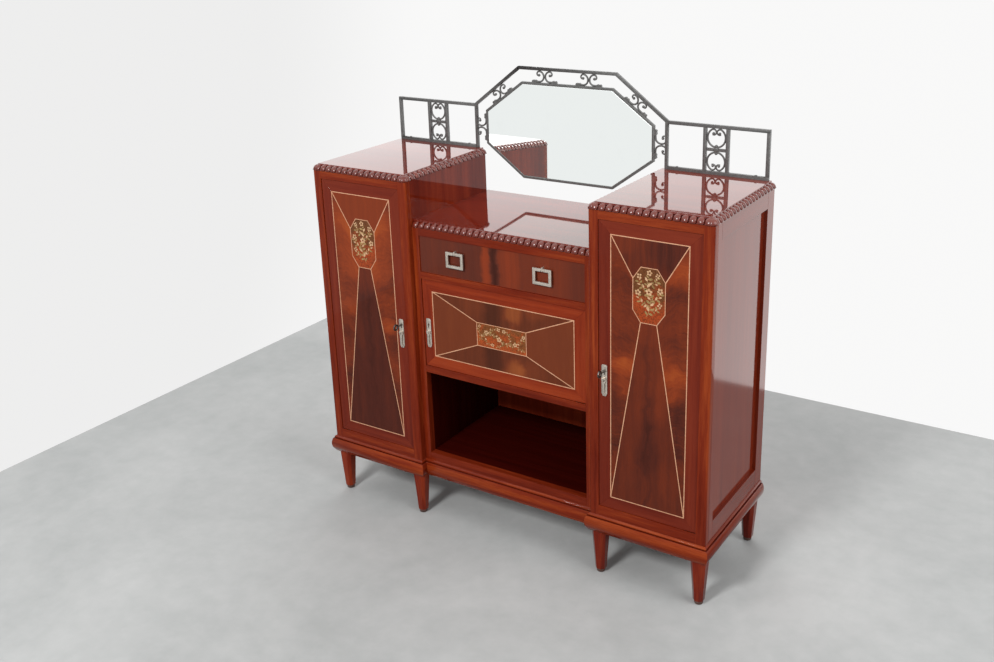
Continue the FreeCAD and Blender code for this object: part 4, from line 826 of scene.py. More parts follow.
class Row(Network):
    """Sets one pattern at even steps along a line."""

    def __init__(self) -> None:
        """Build the tree."""
        super().__init__(
            "row_of_copies",
            {"Pattern": "Object", "Count": "Int", "Start": "Vector", "Step": "Vector", "Turn": "Vector",
             "Size": "Vector", "Finish": "Material"},
            {"line": ("GeometryNodeMeshLine", {"mode": "OFFSET"}), "pattern": ("GeometryNodeObjectInfo", {}),
             "copies": ("GeometryNodeInstanceOnPoints", {}), "real": ("GeometryNodeRealizeInstances", {}),
             "painted": ("GeometryNodeSetMaterial", {})},
            ("given.Count > line.Count", "given.Start > line.Start Location", "given.Step > line.Offset",
             "given.Pattern > pattern.Object", "line.Mesh > copies.Points",
             "pattern.Geometry > copies.Instance", "given.Turn > copies.Rotation",
             "given.Size > copies.Scale", "copies.Instances > real.Geometry",
             "real.Geometry > painted.Geometry", "given.Finish > painted.Material",
             "painted.Geometry > out.Geometry"))

    def lay(self, pattern: bpy.types.Object, count: int, start: Sequence[float], step: Sequence[float],
            finish: bpy.types.Material, turn: Sequence[float] = (0, 0, 0),
            size: Sequence[float] = (1, 1, 1)) -> bpy.types.Mesh:
        """Plain mesh of one row.

        Args:
            pattern: object that is copied.
            count: number of copies.
            start: place of the first.
            step: from one to the next.
            finish: material.
            turn: Euler angles of each copy.
            size: scale of each copy.

        Returns:
            The row's mesh.
        """
        return self.run({"Pattern": pattern, "Count": count, "Start": tuple(start), "Step": tuple(step),
                         "Turn": tuple(turn), "Size": tuple(size), "Finish": finish})


class Forge(Network):
    """Draws round rods along the strands of a wire mesh."""

    def __init__(self) -> None:
        """Build the tree."""
        super().__init__(
            "forged_rods", {"Strands": "Object", "Radius": "Float", "Finish": "Material"},
            {"strands": ("GeometryNodeObjectInfo", {}), "curve": ("GeometryNodeMeshToCurve", {}),
             "ring": ("GeometryNodeCurvePrimitiveCircle", {"Resolution": 12}),
             "stroke": ("GeometryNodeInputNamedAttribute", {"data_type": "FLOAT", "Name": "stroke"}),
             "rod": ("GeometryNodeCurveToMesh", {"Fill Caps": True}),
             "real": ("GeometryNodeRealizeInstances", {}), "painted": ("GeometryNodeSetMaterial", {})},
            ("given.Strands > strands.Object", "strands.Geometry > curve.Mesh", "given.Radius > ring.Radius",
             "curve.Curve > rod.Curve", "ring.Curve > rod.Profile Curve", "stroke.Attribute > rod.Scale",
             "rod.Mesh > real.Geometry", "real.Geometry > painted.Geometry",
             "given.Finish > painted.Material", "painted.Geometry > out.Geometry"))

    def draw(self, strands: Sequence[Sequence[tuple[Vector, float]]], radius: float,
             finish: bpy.types.Material) -> bpy.types.Mesh:
        """Plain mesh of rods.

        Args:
            strands: one list of (place, relative thickness) per rod.
            radius: radius of a rod where its relative thickness is 1.
            finish: material.

        Returns:
            The rods' mesh.
        """
        points, edges, strokes = [], [], []
        for strand in strands:
            first = len(points)
            points += [tuple(place) for place, _ in strand]
            strokes += [thick for _, thick in strand]
            edges += [(first + step, first + step + 1) for step in range(len(strand) - 1)]
        wire = bpy.data.meshes.new("strands")
        wire.from_pydata(points, edges, [])
        wire.attributes.new("stroke", "FLOAT", "POINT").data.foreach_set("value", strokes)
        source = linked("strands", wire)
        mesh = self.run({"Strands": source, "Radius": radius, "Finish": finish})
        bpy.data.objects.remove(source)
        return mesh


ROW = Row()
FORGE = Forge()


def gathered(name: str, meshes: Sequence[bpy.types.Mesh], finish: bpy.types.Material, body: str,
             slot: str, replaces: Sequence[str] = ()) -> bpy.types.Object:
    """One piece from the meshes of several rows."""
    work = bmesh.new()
    for mesh in meshes:
        work.from_mesh(mesh)
        bpy.data.meshes.remove(mesh)
    return dress(name, poured(work, name), [finish], body, slot, replaces)


def pattern_object(bench: Bench, name: str) -> bpy.types.Object:
    """Object on the bench that rows copy; whoever lays the rows removes it."""
    mesh = poured(bench.mesh, name)
    mesh.shade_smooth()
    return linked(name, mesh)


def handed_box(node: str, hand: Hand) -> tuple[Vector, Vector]:
    """Box of a node, as if it stood on the right."""
    low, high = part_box(node)
    if hand is Hand.LEFT:
        low.x, high.x = -high.x, -low.x
    return low, high


def rectangle(low: Vector, high: Vector) -> list[Point]:
    """Outline of a box seen from the front."""
    return [(low.x, low.z), (high.x, low.z), (high.x, high.z), (low.x, high.z)]


def mitred(outer: Sequence[Point], inner: Sequence[Point]) -> Iterator[list[Point]]:
    """The strips between two outlines, one along each side."""
    for index in range(len(outer)):
        following = (index + 1) % len(outer)
        yield [outer[index], outer[following], inner[following], inner[index]]


# ---------------------------------------------------------------------------------------------
# Carcase
# ---------------------------------------------------------------------------------------------
@dataclass
class TallCupboard:
    """Front frame and framed end of one tall cupboard."""

    hand: Hand
    stile: float = 31 * MM
    rounding: float = 6 * MM
    steps: int = 6
    sill: float = 33 * MM
    head: float = 26 * MM
    easing: float = 0.7 * MM
    front_easing: float = 0.7 * MM * 0.6

    def build(self) -> None:
        """Build and dress the pieces."""
        self._face_frame()
        self._end_frame()

    def _face_frame(self) -> None:
        """Two stiles with a rounded outer edge, and two rails between them."""
        low, high = handed_box(f"{self.hand.word}_face_frame", self.hand)
        upright, level = PAINT(MAHOGANY, Axis.Z), PAINT(MAHOGANY, Axis.X)
        bench = Bench(self.hand, 3 + self.hand.value)
        angles = [math.radians(90 * step / self.steps) for step in range(self.steps + 1)]
        for edge, inward in ((high.x, -1), (low.x, 1)):
            arc = [(edge + inward * self.rounding * (1 - math.sin(a)),
                    low.y + self.rounding * (1 - math.cos(a))) for a in angles]
            heart = edge + inward * self.stile
            outline = [(heart, low.y), *arc, (edge, high.y), (heart, high.y)]
            bench.extrude([(x, y, low.z) for x, y in outline], (0, 0, high.z - low.z), upright)
        for bottom, top in ((low.z, low.z + self.sill), (high.z - self.head, high.z)):
            bench.block((low.x + self.stile, low.y, bottom), (high.x - self.stile, high.y, top), level)
        bench.finish(f"{self.hand.word}_front_frame", "cabinet", "carcase_mahogany",
                     [f"{self.hand.word}_face_frame"], self.front_easing)

    def _end_frame(self) -> None:
        """Frame of the end, round a sunk panel."""
        low, high = handed_box(f"{self.hand.word}_end_frame", self.hand)
        panel_low, panel_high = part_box("end_panels")
        front, back = panel_low.y, panel_high.y
        bottom, top = panel_low.z, panel_high.z
        upright, level = PAINT(END_WOOD, Axis.Z), PAINT(END_WOOD, Axis.Y)
        bench = Bench(self.hand, 9 + self.hand.value)
        bench.block((low.x, low.y, low.z), (high.x, front, high.z), upright)
        bench.block((low.x, back, low.z), (high.x, high.y, high.z), upright)
        bench.block((low.x, front, low.z), (high.x, back, bottom), level)
        bench.block((low.x, front, top), (high.x, back, high.z), level)
        bench.finish(f"{self.hand.word}_end_frame_wood", "cabinet", "end_veneer",
                     [f"{self.hand.word}_end_frame"], self.easing)


@dataclass
class CentreFrame:
    """Front frame of the recessed centre."""

    stile: float = 24 * MM
    gap: float = 1 * MM
    board: float = 18 * MM
    niche_rail: float = 23.5 * MM
    easing: float = 0.5 * MM

    def build(self) -> None:
        """Stiles over the full height and four rails between them."""
        low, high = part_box("centre_face_frame")
        door_low, door_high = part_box("centre_door_frame")
        drawer_low, drawer_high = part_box("drawer_front")
        boards_low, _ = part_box("centre_boards")
        door_bottom = door_low.z - self.gap
        upright, level = PAINT(MAHOGANY, Axis.Z), PAINT(MAHOGANY, Axis.X)
        bench = Bench(seed=21)
        for left, right in ((low.x, low.x + self.stile), (high.x - self.stile, high.x)):
            bench.block((left, low.y, low.z), (right, high.y, high.z), upright)
        rails = ((low.z, boards_low.z + self.board), (door_bottom - self.niche_rail, door_bottom),
                 (door_high.z + self.gap, drawer_low.z - self.gap), (drawer_high.z + self.gap, high.z))
        for bottom, top in rails:
            bench.block((low.x + self.stile, low.y, bottom), (high.x - self.stile, high.y, top), level)
        bench.finish("centre_front_frame", "cabinet", "carcase_mahogany", ["centre_face_frame"], self.easing)


@dataclass
class Plinths:
    """Moulded plinths, mitred at the corners."""

    easing: float = 0.5 * MM
    # Depths below the plinth's top between which the quirk's shade is painted.
    quirk: tuple[float, float] = (8.8 * MM, 10.1 * MM)

    def build(self) -> None:
        """Ease the edges, run the grain along each length and paint shade into the quirk."""
        along, back, dark = PAINT(MAHOGANY, Axis.X), PAINT(MAHOGANY, Axis.Y), PAINT(QUIRK_SHADE_WOOD, Axis.X)
        for name in ("right_plinth", "left_plinth", "centre_plinth"):
            low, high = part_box(name)
            middle = (low + high) / 2
            returns = name != "centre_plinth"

            def pick(spot: Vector, low: Vector = low, high: Vector = high, middle: Vector = middle,
                     returns: bool = returns) -> int:
                """2 in the quirk under the bead (painted shade), 1 on the lengths that run front to back, 0
                on the front.
                """
                depth = high.z - spot.z
                # Faces in the quirk band take the painted shade.
                if self.quirk[0] < depth < self.quirk[1]:
                    return 2
                beyond = (high.x - low.x) / 2 - abs(spot.x - middle.x)
                return int(returns and beyond < spot.y - low.y)

            softened(name, f"{name}_moulding", along, "carcase_mahogany", self.easing, pick, [back, dark])


@dataclass
class Legs:
    """Tapered legs with broad chamfers over their whole height, on dark turned tips."""

    head: float = 48 * MM
    foot: float = 32 * MM
    chamfer: float = 10.5 * MM
    foot_chamfer: float = 8.5 * MM
    easing: float = 2.5 * MM
    tip_radius: float = 13.5 * MM
    tip_rim: float = 4 * MM
    tip_easing: tuple[float, float] = (2 * MM, 1.5 * MM)
    cad_head: float = 50 * MM

    def build(self) -> None:
        """One leg and one tip, set at the eight places by rows."""
        low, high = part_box("legs")
        _, glide_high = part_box("foot_glides")
        inner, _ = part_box("right_face_frame")
        row_front, row_back = low.y + self.cad_head / 2, high.y - self.cad_head / 2
        columns = (inner.x + self.cad_head / 2, high.x - self.cad_head / 2)
        places = [side * x for side in (-1, 1) for x in columns]
        step = (0, row_back - row_front, 0)
        leg, tip = self._leg(glide_high.z, high.z), self._tip(glide_high.z)
        for name, pattern, finish, slot, node in (
                ("tapered_legs", leg, PAINT(LEG_WOOD, Axis.Z), "carcase_mahogany", "legs"),
                ("turned_leg_tips", tip, PAINT(GLIDE), "glide", "foot_glides")):
            rows = [ROW.lay(pattern, 2, (x, row_front, 0), step, finish) for x in places]
            gathered(name, rows, finish, "cabinet", slot, [node])
            bpy.data.objects.remove(pattern)

    @staticmethod
    def _ring(half: float, chamfer: float, level: float) -> list[tuple[float, float, float]]:
        """Eight corners of a chamfered square."""
        near = half - chamfer
        flat = [(half, -near), (half, near), (near, half), (-near, half), (-half, near), (-half, -near),
                (-near, -half), (near, -half)]
        return [(x, y, level) for x, y in flat]

    def _leg(self, bottom: float, top: float) -> bpy.types.Object:
        """The leg, rounded in a little at its foot."""
        bench = Bench()
        foot, head, easing = self.foot / 2, self.head / 2, self.easing
        half_way = 0.3 * easing
        rings = [self._ring(foot - easing, self.foot_chamfer, bottom),
                 self._ring(foot - half_way, self.foot_chamfer, bottom + half_way),
                 self._ring(foot, self.foot_chamfer, bottom + easing),
                 self._ring(head, self.chamfer, top)]
        bench.loft(rings, PAINT(LEG_WOOD, Axis.Z))
        return pattern_object(bench, "leg_pattern")

    def _tip(self, height: float) -> bpy.types.Object:
        """Small turned tip with a rounded rim."""
        bench = Bench()
        rim = self.tip_rim
        down, inward = self.tip_easing
        profile = [(0, self.tip_radius - rim)]
        profile += [(rim * (1 - math.cos(a)), self.tip_radius - rim * (1 - math.sin(a)))
                    for a in (math.radians(90 * s / 4) for s in range(1, 5))]
        profile += [(height - down, self.tip_radius), (height, self.tip_radius - inward)]
        bench.turning(profile, (0, 0, 0), (0, 0, 1), PAINT(GLIDE))
        return pattern_object(bench, "tip_pattern")


@dataclass
class Top:
    """Polished slab whose thumb-moulded edge is carved with gadroons.

    channel holds the angles where the carving starts, is full, fades and ends, as the moulding turns up.
    """

    node: str
    sides: bool
    pitch: float = 23 * MM
    nosing: float = 21 * MM
    sunk: float = 5.6 * MM
    lip: float = 2.0 * MM
    channel: tuple[float, float, float, float] = (-60.0, 24.0, 74.0, 84.0)
    corner: float = 13.4 * MM
    rounding: float = 5.5 * MM
    foot: tuple[Point, ...] = ((4.8 * MM, 0.0), (5.3 * MM, 1.2 * MM), (5.8 * MM, 2.2 * MM))
    turns: tuple[int, ...] = (15, 26, 36, 46, 56, 66, 72, 78, 81, 84, 87, 90)
    # Faces of the carving channel that are painted near-black as shade between the gadroons.
    carved: tuple[int, int] = (2, 42)
    lobe_share: float = 0.46
    lobe_steps: tuple[int, int] = (14, 10)
    lobe_inset: tuple[float, float] = (4.0, 1.0)
    lobe_seat: float = 0.8 * MM
    blunt: float = 3.2
    thinnest: float = 0.05
    mitre_size: tuple[float, float, float] = (1.1, 1.05, 1.0)

    def build(self) -> None:
        """Slab and lobes."""
        self.low, self.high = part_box(self.node)
        self.thickness = self.high.z - self.low.z
        self.heart = math.sqrt(self.nosing ** 2 - (self.nosing - self.thickness) ** 2)
        self._slab()
        self._lobes()

    def _edge(self, turn: float, sunk: float) -> Point:
        """(distance in from the edge, height) where the moulding faces up by turn, in degrees."""
        small, lowered = self.lip, self.lip + self.nosing - self.thickness
        middle = self.heart - math.sqrt((self.nosing - small) ** 2 - lowered ** 2)
        angle = math.radians(turn)
        meeting = math.asin(lowered / (self.nosing - small))
        if angle < meeting:
            inset, height, radius = middle, small, small
        else:
            inset, height, radius = self.heart, self.thickness - self.nosing, self.nosing
        radius -= sunk
        return inset - radius * math.cos(angle), height + radius * math.sin(angle)

    def _channel(self, turn: float) -> float:
        """Depth of the carving where the moulding faces up by turn."""
        start, full, fall, end = self.channel
        rising, falling = (turn - start) / (full - start), (end - turn) / (end - fall)
        share = min(max(rising, 0.0), 1.0) * min(max(falling, 0.0), 1.0)
        return self.sunk * math.sin(share * math.pi / 2)

    def _slab(self) -> None:
        """Solid slab with a channel for the carving sunk round its thumb moulding, the channel painted
        near-black as shade between the gadroons.
        """
        low, high = self.low, self.high
        bench = Bench(seed=31)
        finish = PAINT(TOP_WOOD, Axis.X)
        rings = []
        side = 1 if self.sides else 0
        for inset, height in (*self.foot, *(self._edge(turn, self._channel(turn)) for turn in self.turns)):
            level = low.z + height
            left, right = low.x + inset * side, high.x - inset * side
            rings.append([(left, high.y, level), (right, high.y, level), (right, low.y + inset, level),
                          (left, low.y + inset, level)])
        faces = bench.loft(rings, finish)
        # Painted shade: the channel under the gadroons takes the near-black inside finish.
        bench.stain(faces[self.carved[0]:self.carved[1]], PAINT(INTERIOR_AND_SHADE, Axis.X))
        bench.finish(f"{self.node}_slab", "cabinet", "polished_top", [self.node])

    def _lobe(self, half_width: float) -> bpy.types.Object:
        """One gadroon bent round the thumb moulding, rooted at the origin and facing -Y."""
        bench = Bench()
        rings = []
        along, around = self.lobe_steps
        start, end = self.channel[0] + self.lobe_inset[0], self.channel[3] - self.lobe_inset[1]
        for row in range(along + 1):
            share = row / along
            swell = max(1 - abs(2 * share - 1) ** self.blunt, self.thinnest) ** 0.5
            wide = half_width * swell ** 0.5
            turn = start + (end - start) * share
            depth = self._channel(turn)
            ring = []
            for spot in range(around + 1):
                angle = math.pi * spot / around
                inset, height = self._edge(turn, depth * (1 - swell * math.sin(angle)))
                ring.append((wide * math.cos(angle), inset, height))
            inset, height = self._edge(turn, depth + self.lobe_seat)
            ring += [(-wide, inset, height), (wide, inset, height)]
            rings.append(ring)
        bench.loft(rings, PAINT(CARVED_WOOD, Axis.X))
        return pattern_object(bench, "lobe_pattern")

    def _lobes(self) -> None:
        """A row of gadroons on each moulded edge, and one bent outward on each mitre."""
        low, high = self.low, self.high
        finish = PAINT(CARVED_WOOD, Axis.X)
        corner = self.corner if self.sides else 0.0
        length = high.x - low.x - 2 * corner
        count = round(length / self.pitch)
        pitch = length / count
        lobe = self._lobe(pitch * self.lobe_share)
        rows = [ROW.lay(lobe, count, (low.x + corner + pitch / 2, low.y, low.z), (pitch, 0, 0), finish)]
        if self.sides:
            length = high.y - low.y - corner
            count = round(length / self.pitch)
            step = length / count
            for edge, hand in ((high.x, 1), (low.x, -1)):
                start = (edge, low.y + corner + step / 2, low.z)
                rows.append(ROW.lay(lobe, count, start, (0, step, 0), finish, (0, 0, hand * math.pi / 2)))
                start = (edge - hand * self.rounding, low.y + self.rounding, low.z)
                turn = (0, 0, hand * math.pi / 4)
                rows.append(ROW.lay(lobe, 1, start, (0, 0, 0), finish, turn, self.mitre_size))
        bpy.data.objects.remove(lobe)
        gathered(f"{self.node}_gadroons", rows, finish, "cabinet", "polished_top")


# ---------------------------------------------------------------------------------------------
# Doors and drawer
# ---------------------------------------------------------------------------------------------
def ring_outline(points: Sequence[Point], inset: float) -> list[Point]:
    """Convex outline drawn in (or out, if inset is below 0) by an even distance."""
    count = len(points)
    area = sum(points[i][0] * points[(i + 1) % count][1] - points[(i + 1) % count][0] * points[i][1]
               for i in range(count))
    turn = 1 if area > 0 else -1
    lines = []
    for index in range(count):
        start, end = Vector(points[index]), Vector(points[(index + 1) % count])
        way = (end - start).normalized()
        lines.append((start + Vector((-way.y, way.x)) * inset * turn, way))
    result = []
    for index in range(count):
        (p, d), (q, e) = lines[index - 1], lines[index]
        cross = d.x * e.y - d.y * e.x
        reach = ((q - p).x * e.y - (q - p).y * e.x) / cross
        result.append(tuple(p + d * reach))
    return result


def round_about(centre: Point, radius: float, angle: float) -> Point:
    """Place at a distance from a centre, at an angle."""
    return centre[0] + radius * math.cos(angle), centre[1] + radius * math.sin(angle)


def bend(first: Vector, middle: Vector, last: Vector, share: float) -> Vector:
    """Place on the curve that leaves first and reaches last, drawn toward the middle point."""
    return first * (1 - share) ** 2 + middle * 2 * share * (1 - share) + last * share * share


@dataclass(frozen=True)
class Lifts:
    """How far each layer of inlay stands before the veneer, so that no two lie in one plane."""

    ground: float = 0.03 * MM
    line: float = 0.07 * MM
    loop: float = 0.08 * MM
    stem: float = 0.1 * MM
    leaf: float = 0.14 * MM
    heart: float = 0.2 * MM
    string_depth: float = 0.5 * MM
    flower_depth: float = 0.3 * MM


LIFT = Lifts()

# Stems in millimetres from the plaque's middle: three points, length of the leaves, width of the stem.
# Blossoms: place, radius, number of petals, turn.
SPRAY: tuple[tuple[Shoot, ...], tuple[Flower, ...]] = (
    (((-8, -62), (15, -24), (-2, 14), 14.0, 1.7), ((-2, 14), (-11, 37), (2, 60), 13.0, 1.4),
     ((1, -26), (-29, -26), (-33, 1), 11.0, 1.2), ((2, -9), (33, -13), (34, 16), 11.0, 1.2),
     ((-3, 20), (-33, 22), (-30, 50), 11.0, 1.1), ((-4, 33), (27, 33), (25, 60), 11.0, 1.1),
     ((4, -40), (26, -46), (31, -26), 10.0, 1.0)),
    ((0, 12, 10.5, 5, 0.3), (34, 20, 9.0, 5, 0.9), (-34, 7, 9.0, 5, 1.4), (1, 68, 8.5, 5, 0.1),
     (-30, 55, 8.0, 4, 0.8), (26, 63, 7.0, 4, 0.3), (33, -22, 7.5, 4, 0.2)))
GARLAND: tuple[tuple[Shoot, ...], tuple[Flower, ...]] = (
    (((-84, -22), (-50, 30), (-8, -4), 8.0, 1.3), ((-8, -4), (34, -34), (82, 16), 8.0, 1.3),
     ((-62, -2), (-60, -30), (-36, -28), 6.5, 1.0), ((-50, 6), (-40, 30), (-14, 29), 6.5, 1.0),
     ((28, -17), (40, 22), (14, 27), 6.5, 1.0), ((52, -10), (70, -32), (84, -20), 6.5, 1.0),
     ((-74, -10), (-88, 10), (-80, 28), 6.0, 0.9), ((8, -14), (-6, -34), (-22, -30), 6.0, 0.9)),
    ((-8, -4, 8.5, 5, 0.2), (-56, 11, 7.5, 5, 1.0), (50, -10, 7.5, 5, 0.5), (-10, 28, 6.5, 4, 0.6),
     (10, 26, 6.5, 5, 0.0), (81, 20, 6.5, 5, 0.9), (-33, -27, 6.0, 4, 0.4), (-80, 28, 5.5, 4, 0.2)))


class Marquetry:
    """Stringing, sprays of leaves and blossoms, cut from thin wood and laid on a door."""

    def __init__(self, face: float, hand: Hand) -> None:
        """Begin on a door whose face is at y face."""
        self.face = face
        self.lines = Bench(hand, 5)
        self.flowers = Bench(hand, 6)

    def _string(self, corners: Sequence[Point], lift: float) -> None:
        """Flat piece of boxwood."""
        self.lines.slip(corners, self.face - lift, self.face + LIFT.string_depth, PAINT(BOXWOOD))

    def _cutting(self, corners: Sequence[Sequence[float]], lift: float, finish: Inlay) -> None:
        """Flat piece of a flower."""
        outline = [tuple(corner) for corner in corners]
        self.flowers.slip(outline, self.face - lift, self.face + LIFT.flower_depth, PAINT(finish))

    def line(self, start: Point, end: Point, width: float) -> None:
        """One straight string of boxwood."""
        start, end = Vector(start), Vector(end)
        way = (end - start).normalized()
        side = Vector((-way.y, way.x)) * width / 2
        self._string([tuple(c) for c in (start - side, end - side, end + side, start + side)], LIFT.line)

    def loop(self, points: Sequence[Point], width: float) -> None:
        """Closed string of boxwood, mitred at its corners, centred on the outline."""
        for strip in mitred(ring_outline(points, -width / 2), ring_outline(points, width / 2)):
            self._string(strip, LIFT.loop)

    def leaf(self, root: Point, angle: float, length: float, width: float, finish: Inlay,
             lift: float = LIFT.leaf) -> None:
        """Pointed leaf from its root, as two halves with a split along the rib."""
        way = Vector((math.cos(angle), math.sin(angle)))
        side = Vector((-way.y, way.x))
        start, fullness, split, steps = Vector(root), 0.8, 0.12 * MM, 6
        for half in (1, -1):
            edge = [start + way * length * t + side * half * width / 2 * math.sin(math.pi * t) ** fullness
                    for t in (step / steps for step in range(steps + 1))]
            rib = [start + way * length * t + side * half * split for t in (0.97, 0.5, 0.03)]
            self._cutting(edge + rib, lift, finish)

    def blossom(self, centre: Point, radius: float, petals: int, turn: float) -> None:
        """Open flower: petals round a dark heart."""
        root, long, wide, heart, steps = 0.22 * radius, radius * 0.86, radius * 0.72, 0.27 * radius, 10
        for index in range(petals):
            angle = turn + math.tau * index / petals
            self.leaf(round_about(centre, root, angle), angle, long, wide, PETAL)
        rim = [round_about(centre, heart, math.tau * step / steps) for step in range(steps)]
        self._cutting(rim, LIFT.heart, HEART)

    def stem(self, points: Sequence[Vector], width: float) -> None:
        """Thin curved stem by three points, getting thinner toward its end."""
        steps, taper = 10, 0.6
        spine = [bend(*points, step / steps) for step in range(steps + 1)]
        sides = []
        for index, spot in enumerate(spine):
            way = (spine[min(index + 1, steps)] - spine[max(index - 1, 0)]).normalized()
            side = Vector((-way.y, way.x)) * width / 2 * (1 - taper * index / steps)
            sides.append((spot + side, spot - side))
        for (left, right), (next_left, next_right) in zip(sides, sides[1:]):
            self._cutting([left, next_left, next_right, right], LIFT.stem, STEM)

    def branch(self, number: int, points: Sequence[Vector], length: float, width: float) -> None:
        """Stem with leaves set along it by turns to either side.

        Args:
            number: the branch's own number, which varies its leaves.
            points: three points of the stem.
            length: length of its leaves.
            width: width of the stem.
        """
        pace, slender = 6.5 * MM, 0.44
        self.stem(points, width)
        first, middle, last = points
        count = max(3, round(((middle - first).length + (last - middle).length) / pace))
        for index in range(1, count):
            share = index / count
            way = (middle - first) * (1 - share) + (last - middle) * share
            side = 1 if index % 2 else -1
            lean = math.atan2(way.y, way.x) + side * (0.75 + 0.3 * ((index * 7 + number) % 3))
            size = length * (0.8 + 0.14 * ((index * 5 + number) % 4))
            lift = (0.12 + 0.01 * (index % 4)) * MM
            finish = PETAL if (index + number) % 3 == 0 else LEAF
            self.leaf(tuple(bend(*points, share)), lean, size, size * slender, finish, lift)

    def grow(self, centre: Point, shoots: Sequence[Shoot], flowers: Sequence[Flower]) -> None:
        """Stems, leaves and blossoms about the middle of a plaque."""
        for number, (*ends, length, width) in enumerate(shoots):
            points = [Vector((centre[0] + u * MM, centre[1] + v * MM)) for u, v in ends]
            self.branch(number, points, length * MM, width * MM)
        for u, v, radius, petals, turn in flowers:
            self.blossom((centre[0] + u * MM, centre[1] + v * MM), radius * MM, petals, turn)

    def finish(self, prefix: str, body: str) -> None:
        """Lay the lines and the flowers as two pieces on the door."""
        self.lines.finish(f"{prefix}_stringing", body, "marquetry")
        self.flowers.finish(f"{prefix}_flowers", body, "marquetry")


@dataclass
class Door:
    """One door: mitred border, matched veneers, stringing and a marquetry plaque."""

    name: str
    hand: Hand
    seed: int = 41
    border: float = 38.5 * MM
    veneer: float = 0.6 * MM
    string: float = 2.6 * MM
    fine_string: float = 2.6 * MM * 0.8
    cut: Point = (24.5 * MM, 35.5 * MM)
    left_match: float = -12 * MM
    easing: float = 0.5 * MM

    def build(self) -> None:
        """Build and dress the door's pieces."""
        self.body = f"{self.name}_door"
        self.low, self.high = handed_box(f"{self.name}_door_panel", self.hand)
        self.plaque_low, self.plaque_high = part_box(f"{self.name}_door_medallion")
        self.front, self.back = self.low.y, self.low.y + self.veneer
        self.corners = rectangle(self.low, self.high)
        self.height = (self.plaque_low.z + self.plaque_high.z) / 2
        self._border()
        if self.name == "centre":
            self._centre_field()
        else:
            self._tall_field()

    def _border(self) -> None:
        """Four mitred lengths with the grain along each."""
        low, high = handed_box(f"{self.name}_door_frame", self.hand)
        outer = rectangle(low, high)
        bench = Bench(self.hand, self.seed)
        # The centre door's border is lightened, partly as painted light.
        wood = PAINTED_LIGHT_BORDER if self.name == "centre" else BORDER
        for index, strip in enumerate(mitred(outer, ring_outline(outer, self.border))):
            bench.slip(strip, low.y, high.y, PAINT(wood, Axis.Z if index % 2 else Axis.X))
        bench.finish(f"{self.name}_door_border", self.body, "door_border", [f"{self.name}_door_frame"],
                     self.easing)

    def _veneers(self, leaves: Iterable[tuple[Sequence[Point], Veneer]], spot: Point, grain: Axis) -> None:
        """The panel: face veneers, mapped about a spot, on a core with its grain along an axis."""
        bench = Bench(self.hand, self.seed + 1)
        for outline, finish in leaves:
            bench.slip(outline, self.front, self.back, PAINT(finish), spot)
        bench.slip(self.corners, self.back, self.high.y, PAINT(INTERIOR_AND_SHADE, grain))
        bench.finish(f"{self.name}_door_veneers", self.body, "veneer", [f"{self.name}_door_panel"])

    def _inlay(self, word: str, plaque: Sequence[Point], finish: Burr, spot: Point) -> Marquetry:
        """Burr ground of the plaque, and a marquetry with the strings round the panel and the plaque."""
        ground = Bench(self.hand, self.seed + 2)
        ground.slip(plaque, self.front - LIFT.ground, self.back, PAINT(finish), spot)
        ground.finish(f"{self.name}_{word}_ground", self.body, "marquetry", [f"{self.name}_door_medallion"])
        art = Marquetry(self.front, self.hand)
        art.loop(self.corners, self.string)
        art.loop(plaque, self.fine_string)
        return art

    def _octagon(self, middle: float) -> list[Point]:
        """Corners of the plaque, from the lowest on the right, against the clock."""
        half = (self.plaque_high.x - self.plaque_low.x) / 2
        cut_x, cut_z = self.cut
        bottom, top = self.plaque_low.z, self.plaque_high.z
        side = [(half - cut_x, bottom), (half, bottom + cut_z), (half, top - cut_z), (half - cut_x, top)]
        return [(middle + x, z) for x, z in side] + [(middle - x, z) for x, z in reversed(side)]

    def _tall_field(self) -> None:
        """Long panel: dark wedges above and below an octagon, flame veneer at the sides."""
        middle = (self.low.x + self.high.x) / 2
        octagon = self._octagon(middle)
        low_left, low_right, high_right, high_left = self.corners
        flame, above, below, match = FLAME, DARK_LEAF, LONG_LEAF, 0.0
        if self.hand is Hand.LEFT:
            flame, above, below, match = SMOULDER, RUSSET_LEAF, DUSK_LEAF, self.left_match
        leaves = (([octagon[2], high_right, high_left, octagon[5], octagon[4], octagon[3]], above),
                  ([octagon[0], octagon[7], low_left, low_right], below),
                  ([low_right, high_right, octagon[2], octagon[1], octagon[0]], flame),
                  ([high_left, low_left, octagon[7], octagon[6], octagon[5]], flame))
        self._veneers(leaves, (middle, match), Axis.Z)
        art = self._inlay("octagon", octagon, BURR, (middle, self.height))
        for number, corner in ((2, high_right), (5, high_left), (0, low_right), (7, low_left)):
            art.line(octagon[number], corner, self.string)
        art.grow((middle, self.height), *SPRAY)
        art.finish(self.name, self.body)

    def _centre_field(self) -> None:
        """Wide panel: four veneers that meet on the diagonals, round a plaque."""
        plaque = rectangle(self.plaque_low, self.plaque_high)
        leaves = zip(mitred(self.corners, plaque), (RIBBON, QUIET, RIBBON, QUIET))
        self._veneers(leaves, (0.0, 0.0), Axis.X)
        art = self._inlay("plaque", plaque, PLAQUE, (0.0, self.height))
        for start, end in zip(self.corners, plaque):
            art.line(start, end, self.string)
        art.grow(((self.plaque_low.x + self.plaque_high.x) / 2, self.height), *GARLAND)
        art.finish(self.name, self.body)


